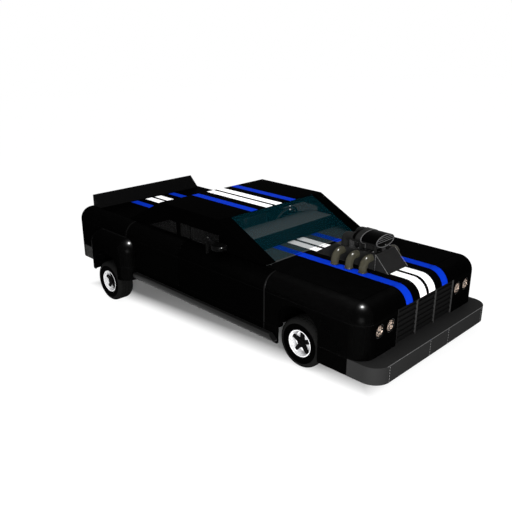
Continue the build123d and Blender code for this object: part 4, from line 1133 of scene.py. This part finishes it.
def lay_floor():
    clear_selection()
    bpy.ops.mesh.primitive_plane_add(size=120, location=(0, 0, -0.0005))
    floor = bpy.context.object
    floor.name = "studio_floor"
    make = Finish("studio floor", Roughness=0.9, IOR=1.1)
    make.colour(make.blend(make.noise(0.5), 0.86, 0.88))
    x, y, z = make.axes(make.coordinates)
    past = make.larger(make.minus(make.size(x), SHADE_LONG), make.minus(make.size(y), SHADE_WIDE))
    near = make.fed("ShaderNodeMapRange", dict(enumerate((past, *SHADE_FADE, 0.0, FLOOR_SHOWN))))
    glow = make.fed("ShaderNodeEmission", {"Strength": FLOOR_WHITE})
    make.show(make.times(make.seen(), near.outputs[0]), make.shader, glow, "Material Output")
    dress(floor, make.material)


def hang_sky(scene, strength):
    world = bpy.data.worlds.new("studio sky")
    world.use_nodes = True
    make = Nodes(world.node_tree)
    sky = make.tree.nodes["Background"]
    sky.inputs["Strength"].default_value = strength
    sky.inputs["Color"].default_value = (1.0, 1.0, 1.0, 1.0)
    bright = make.fed("ShaderNodeBackground", {"Color": 1.0})
    make.show(make.seen(), sky, bright, "World Output")
    scene.world = world


def place_lamps(studio):
    panel_lamp("front lamp", STANCE @ Vector((4.2, -6.2, 1.2)), (0, 0, 0.4), 3.5, studio.front_power)
    soft = panel_lamp("overhead lamp", (0.5, -1.0, 6.0), (0, 0, 0), 6.0, studio.soft_power)
    soft.visible_glossy = False
    above = STANCE @ Vector((-0.1, 0.7, 11.5))
    spark = panel_lamp("highlight lamp", above, (0, 0, 0), 1.6, studio.spark_power)
    spark.visible_diffuse = False
    glossy = bpy.data.collections.new("gloss paint")
    for obj in cad("wing_left", "wing_right", "quarter_left", "quarter_right", "nose_panel", "bonnet",
                   "mirror_left", "mirror_right", "blower_housing"):
        glossy.objects.link(obj)
    spark.light_linking.receiver_collection = glossy


def place_camera(scene):
    camera = bpy.data.objects.new("camera", bpy.data.cameras.new("camera"))
    scene.collection.objects.link(camera)
    camera.data.sensor_fit = "AUTO"
    camera.data.angle = math.radians(CAMERA_WIDE)
    camera.data.clip_end = 500
    turn, lift = math.radians(CAMERA_TURN), math.radians(CAMERA_LIFT)
    back = Vector((math.sin(turn) * math.cos(lift), -math.cos(turn) * math.cos(lift), math.sin(lift)))
    right = Vector((math.cos(turn), math.sin(turn), 0))
    aim = Matrix((right, back.cross(right), back)).transposed().to_4x4()
    camera.matrix_world = STANCE @ Matrix.Translation(CAMERA_PLACE) @ aim
    scene.camera = camera


class MUSCLECAR_OT_studio(bpy.types.Operator):
    """Set up the floor, lamps and camera"""
    bl_idname = "muscle_car.studio"
    bl_label = "Set up studio"

    def execute(self, context):
        studio = context.scene.muscle_car.studio
        lay_floor()
        hang_sky(context.scene, studio.sky)
        place_lamps(studio)
        place_camera(context.scene)
        context.scene.view_settings.view_transform = "Standard"
        return {"FINISHED"}


class MUSCLECAR_PT_sidebar(bpy.types.Panel):
    bl_label = "Muscle car"
    bl_idname = "MUSCLECAR_PT_sidebar"
    bl_space_type = "VIEW_3D"
    bl_region_type = "UI"
    bl_category = "Muscle car"

    def draw(self, context):
        settings = context.scene.muscle_car
        for group in (settings.paint, settings.glass, settings.wheels, settings.studio):
            box = self.layout.box()
            for name in group.bl_rna.properties.keys():
                if name not in ("rna_type", "name"):
                    box.prop(group, name)
        for operator in OPERATORS:
            self.layout.operator(operator.bl_idname)


SETTINGS = (MuscleCarPaint, MuscleCarGlass, MuscleCarWheels, MuscleCarStudio, MuscleCarSettings)
OPERATORS = (MUSCLECAR_OT_panels, MUSCLECAR_OT_glazing, MUSCLECAR_OT_tyres, MUSCLECAR_OT_rims,
             MUSCLECAR_OT_lamps, MUSCLECAR_OT_cabin, MUSCLECAR_OT_seats, MUSCLECAR_OT_engine,
             MUSCLECAR_OT_trim, MUSCLECAR_OT_studio)


def register():
    for cls in (*SETTINGS, *OPERATORS, MUSCLECAR_PT_sidebar):
        bpy.utils.register_class(cls)
    bpy.types.Scene.muscle_car = bpy.props.PointerProperty(type=MuscleCarSettings)


def unregister():
    del bpy.types.Scene.muscle_car
    for cls in (MUSCLECAR_PT_sidebar, *reversed(OPERATORS), *reversed(SETTINGS)):
        bpy.utils.unregister_class(cls)


def main():
    register()
    bpy.ops.muscle_car.panels()
    bpy.ops.muscle_car.glazing()
    bpy.ops.muscle_car.tyres()
    bpy.ops.muscle_car.rims()
    bpy.ops.muscle_car.lamps()
    bpy.ops.muscle_car.cabin()
    bpy.ops.muscle_car.seats()
    bpy.ops.muscle_car.engine()
    bpy.ops.muscle_car.trim()
    bpy.ops.muscle_car.studio()


if __name__ == "__main__":
    main()
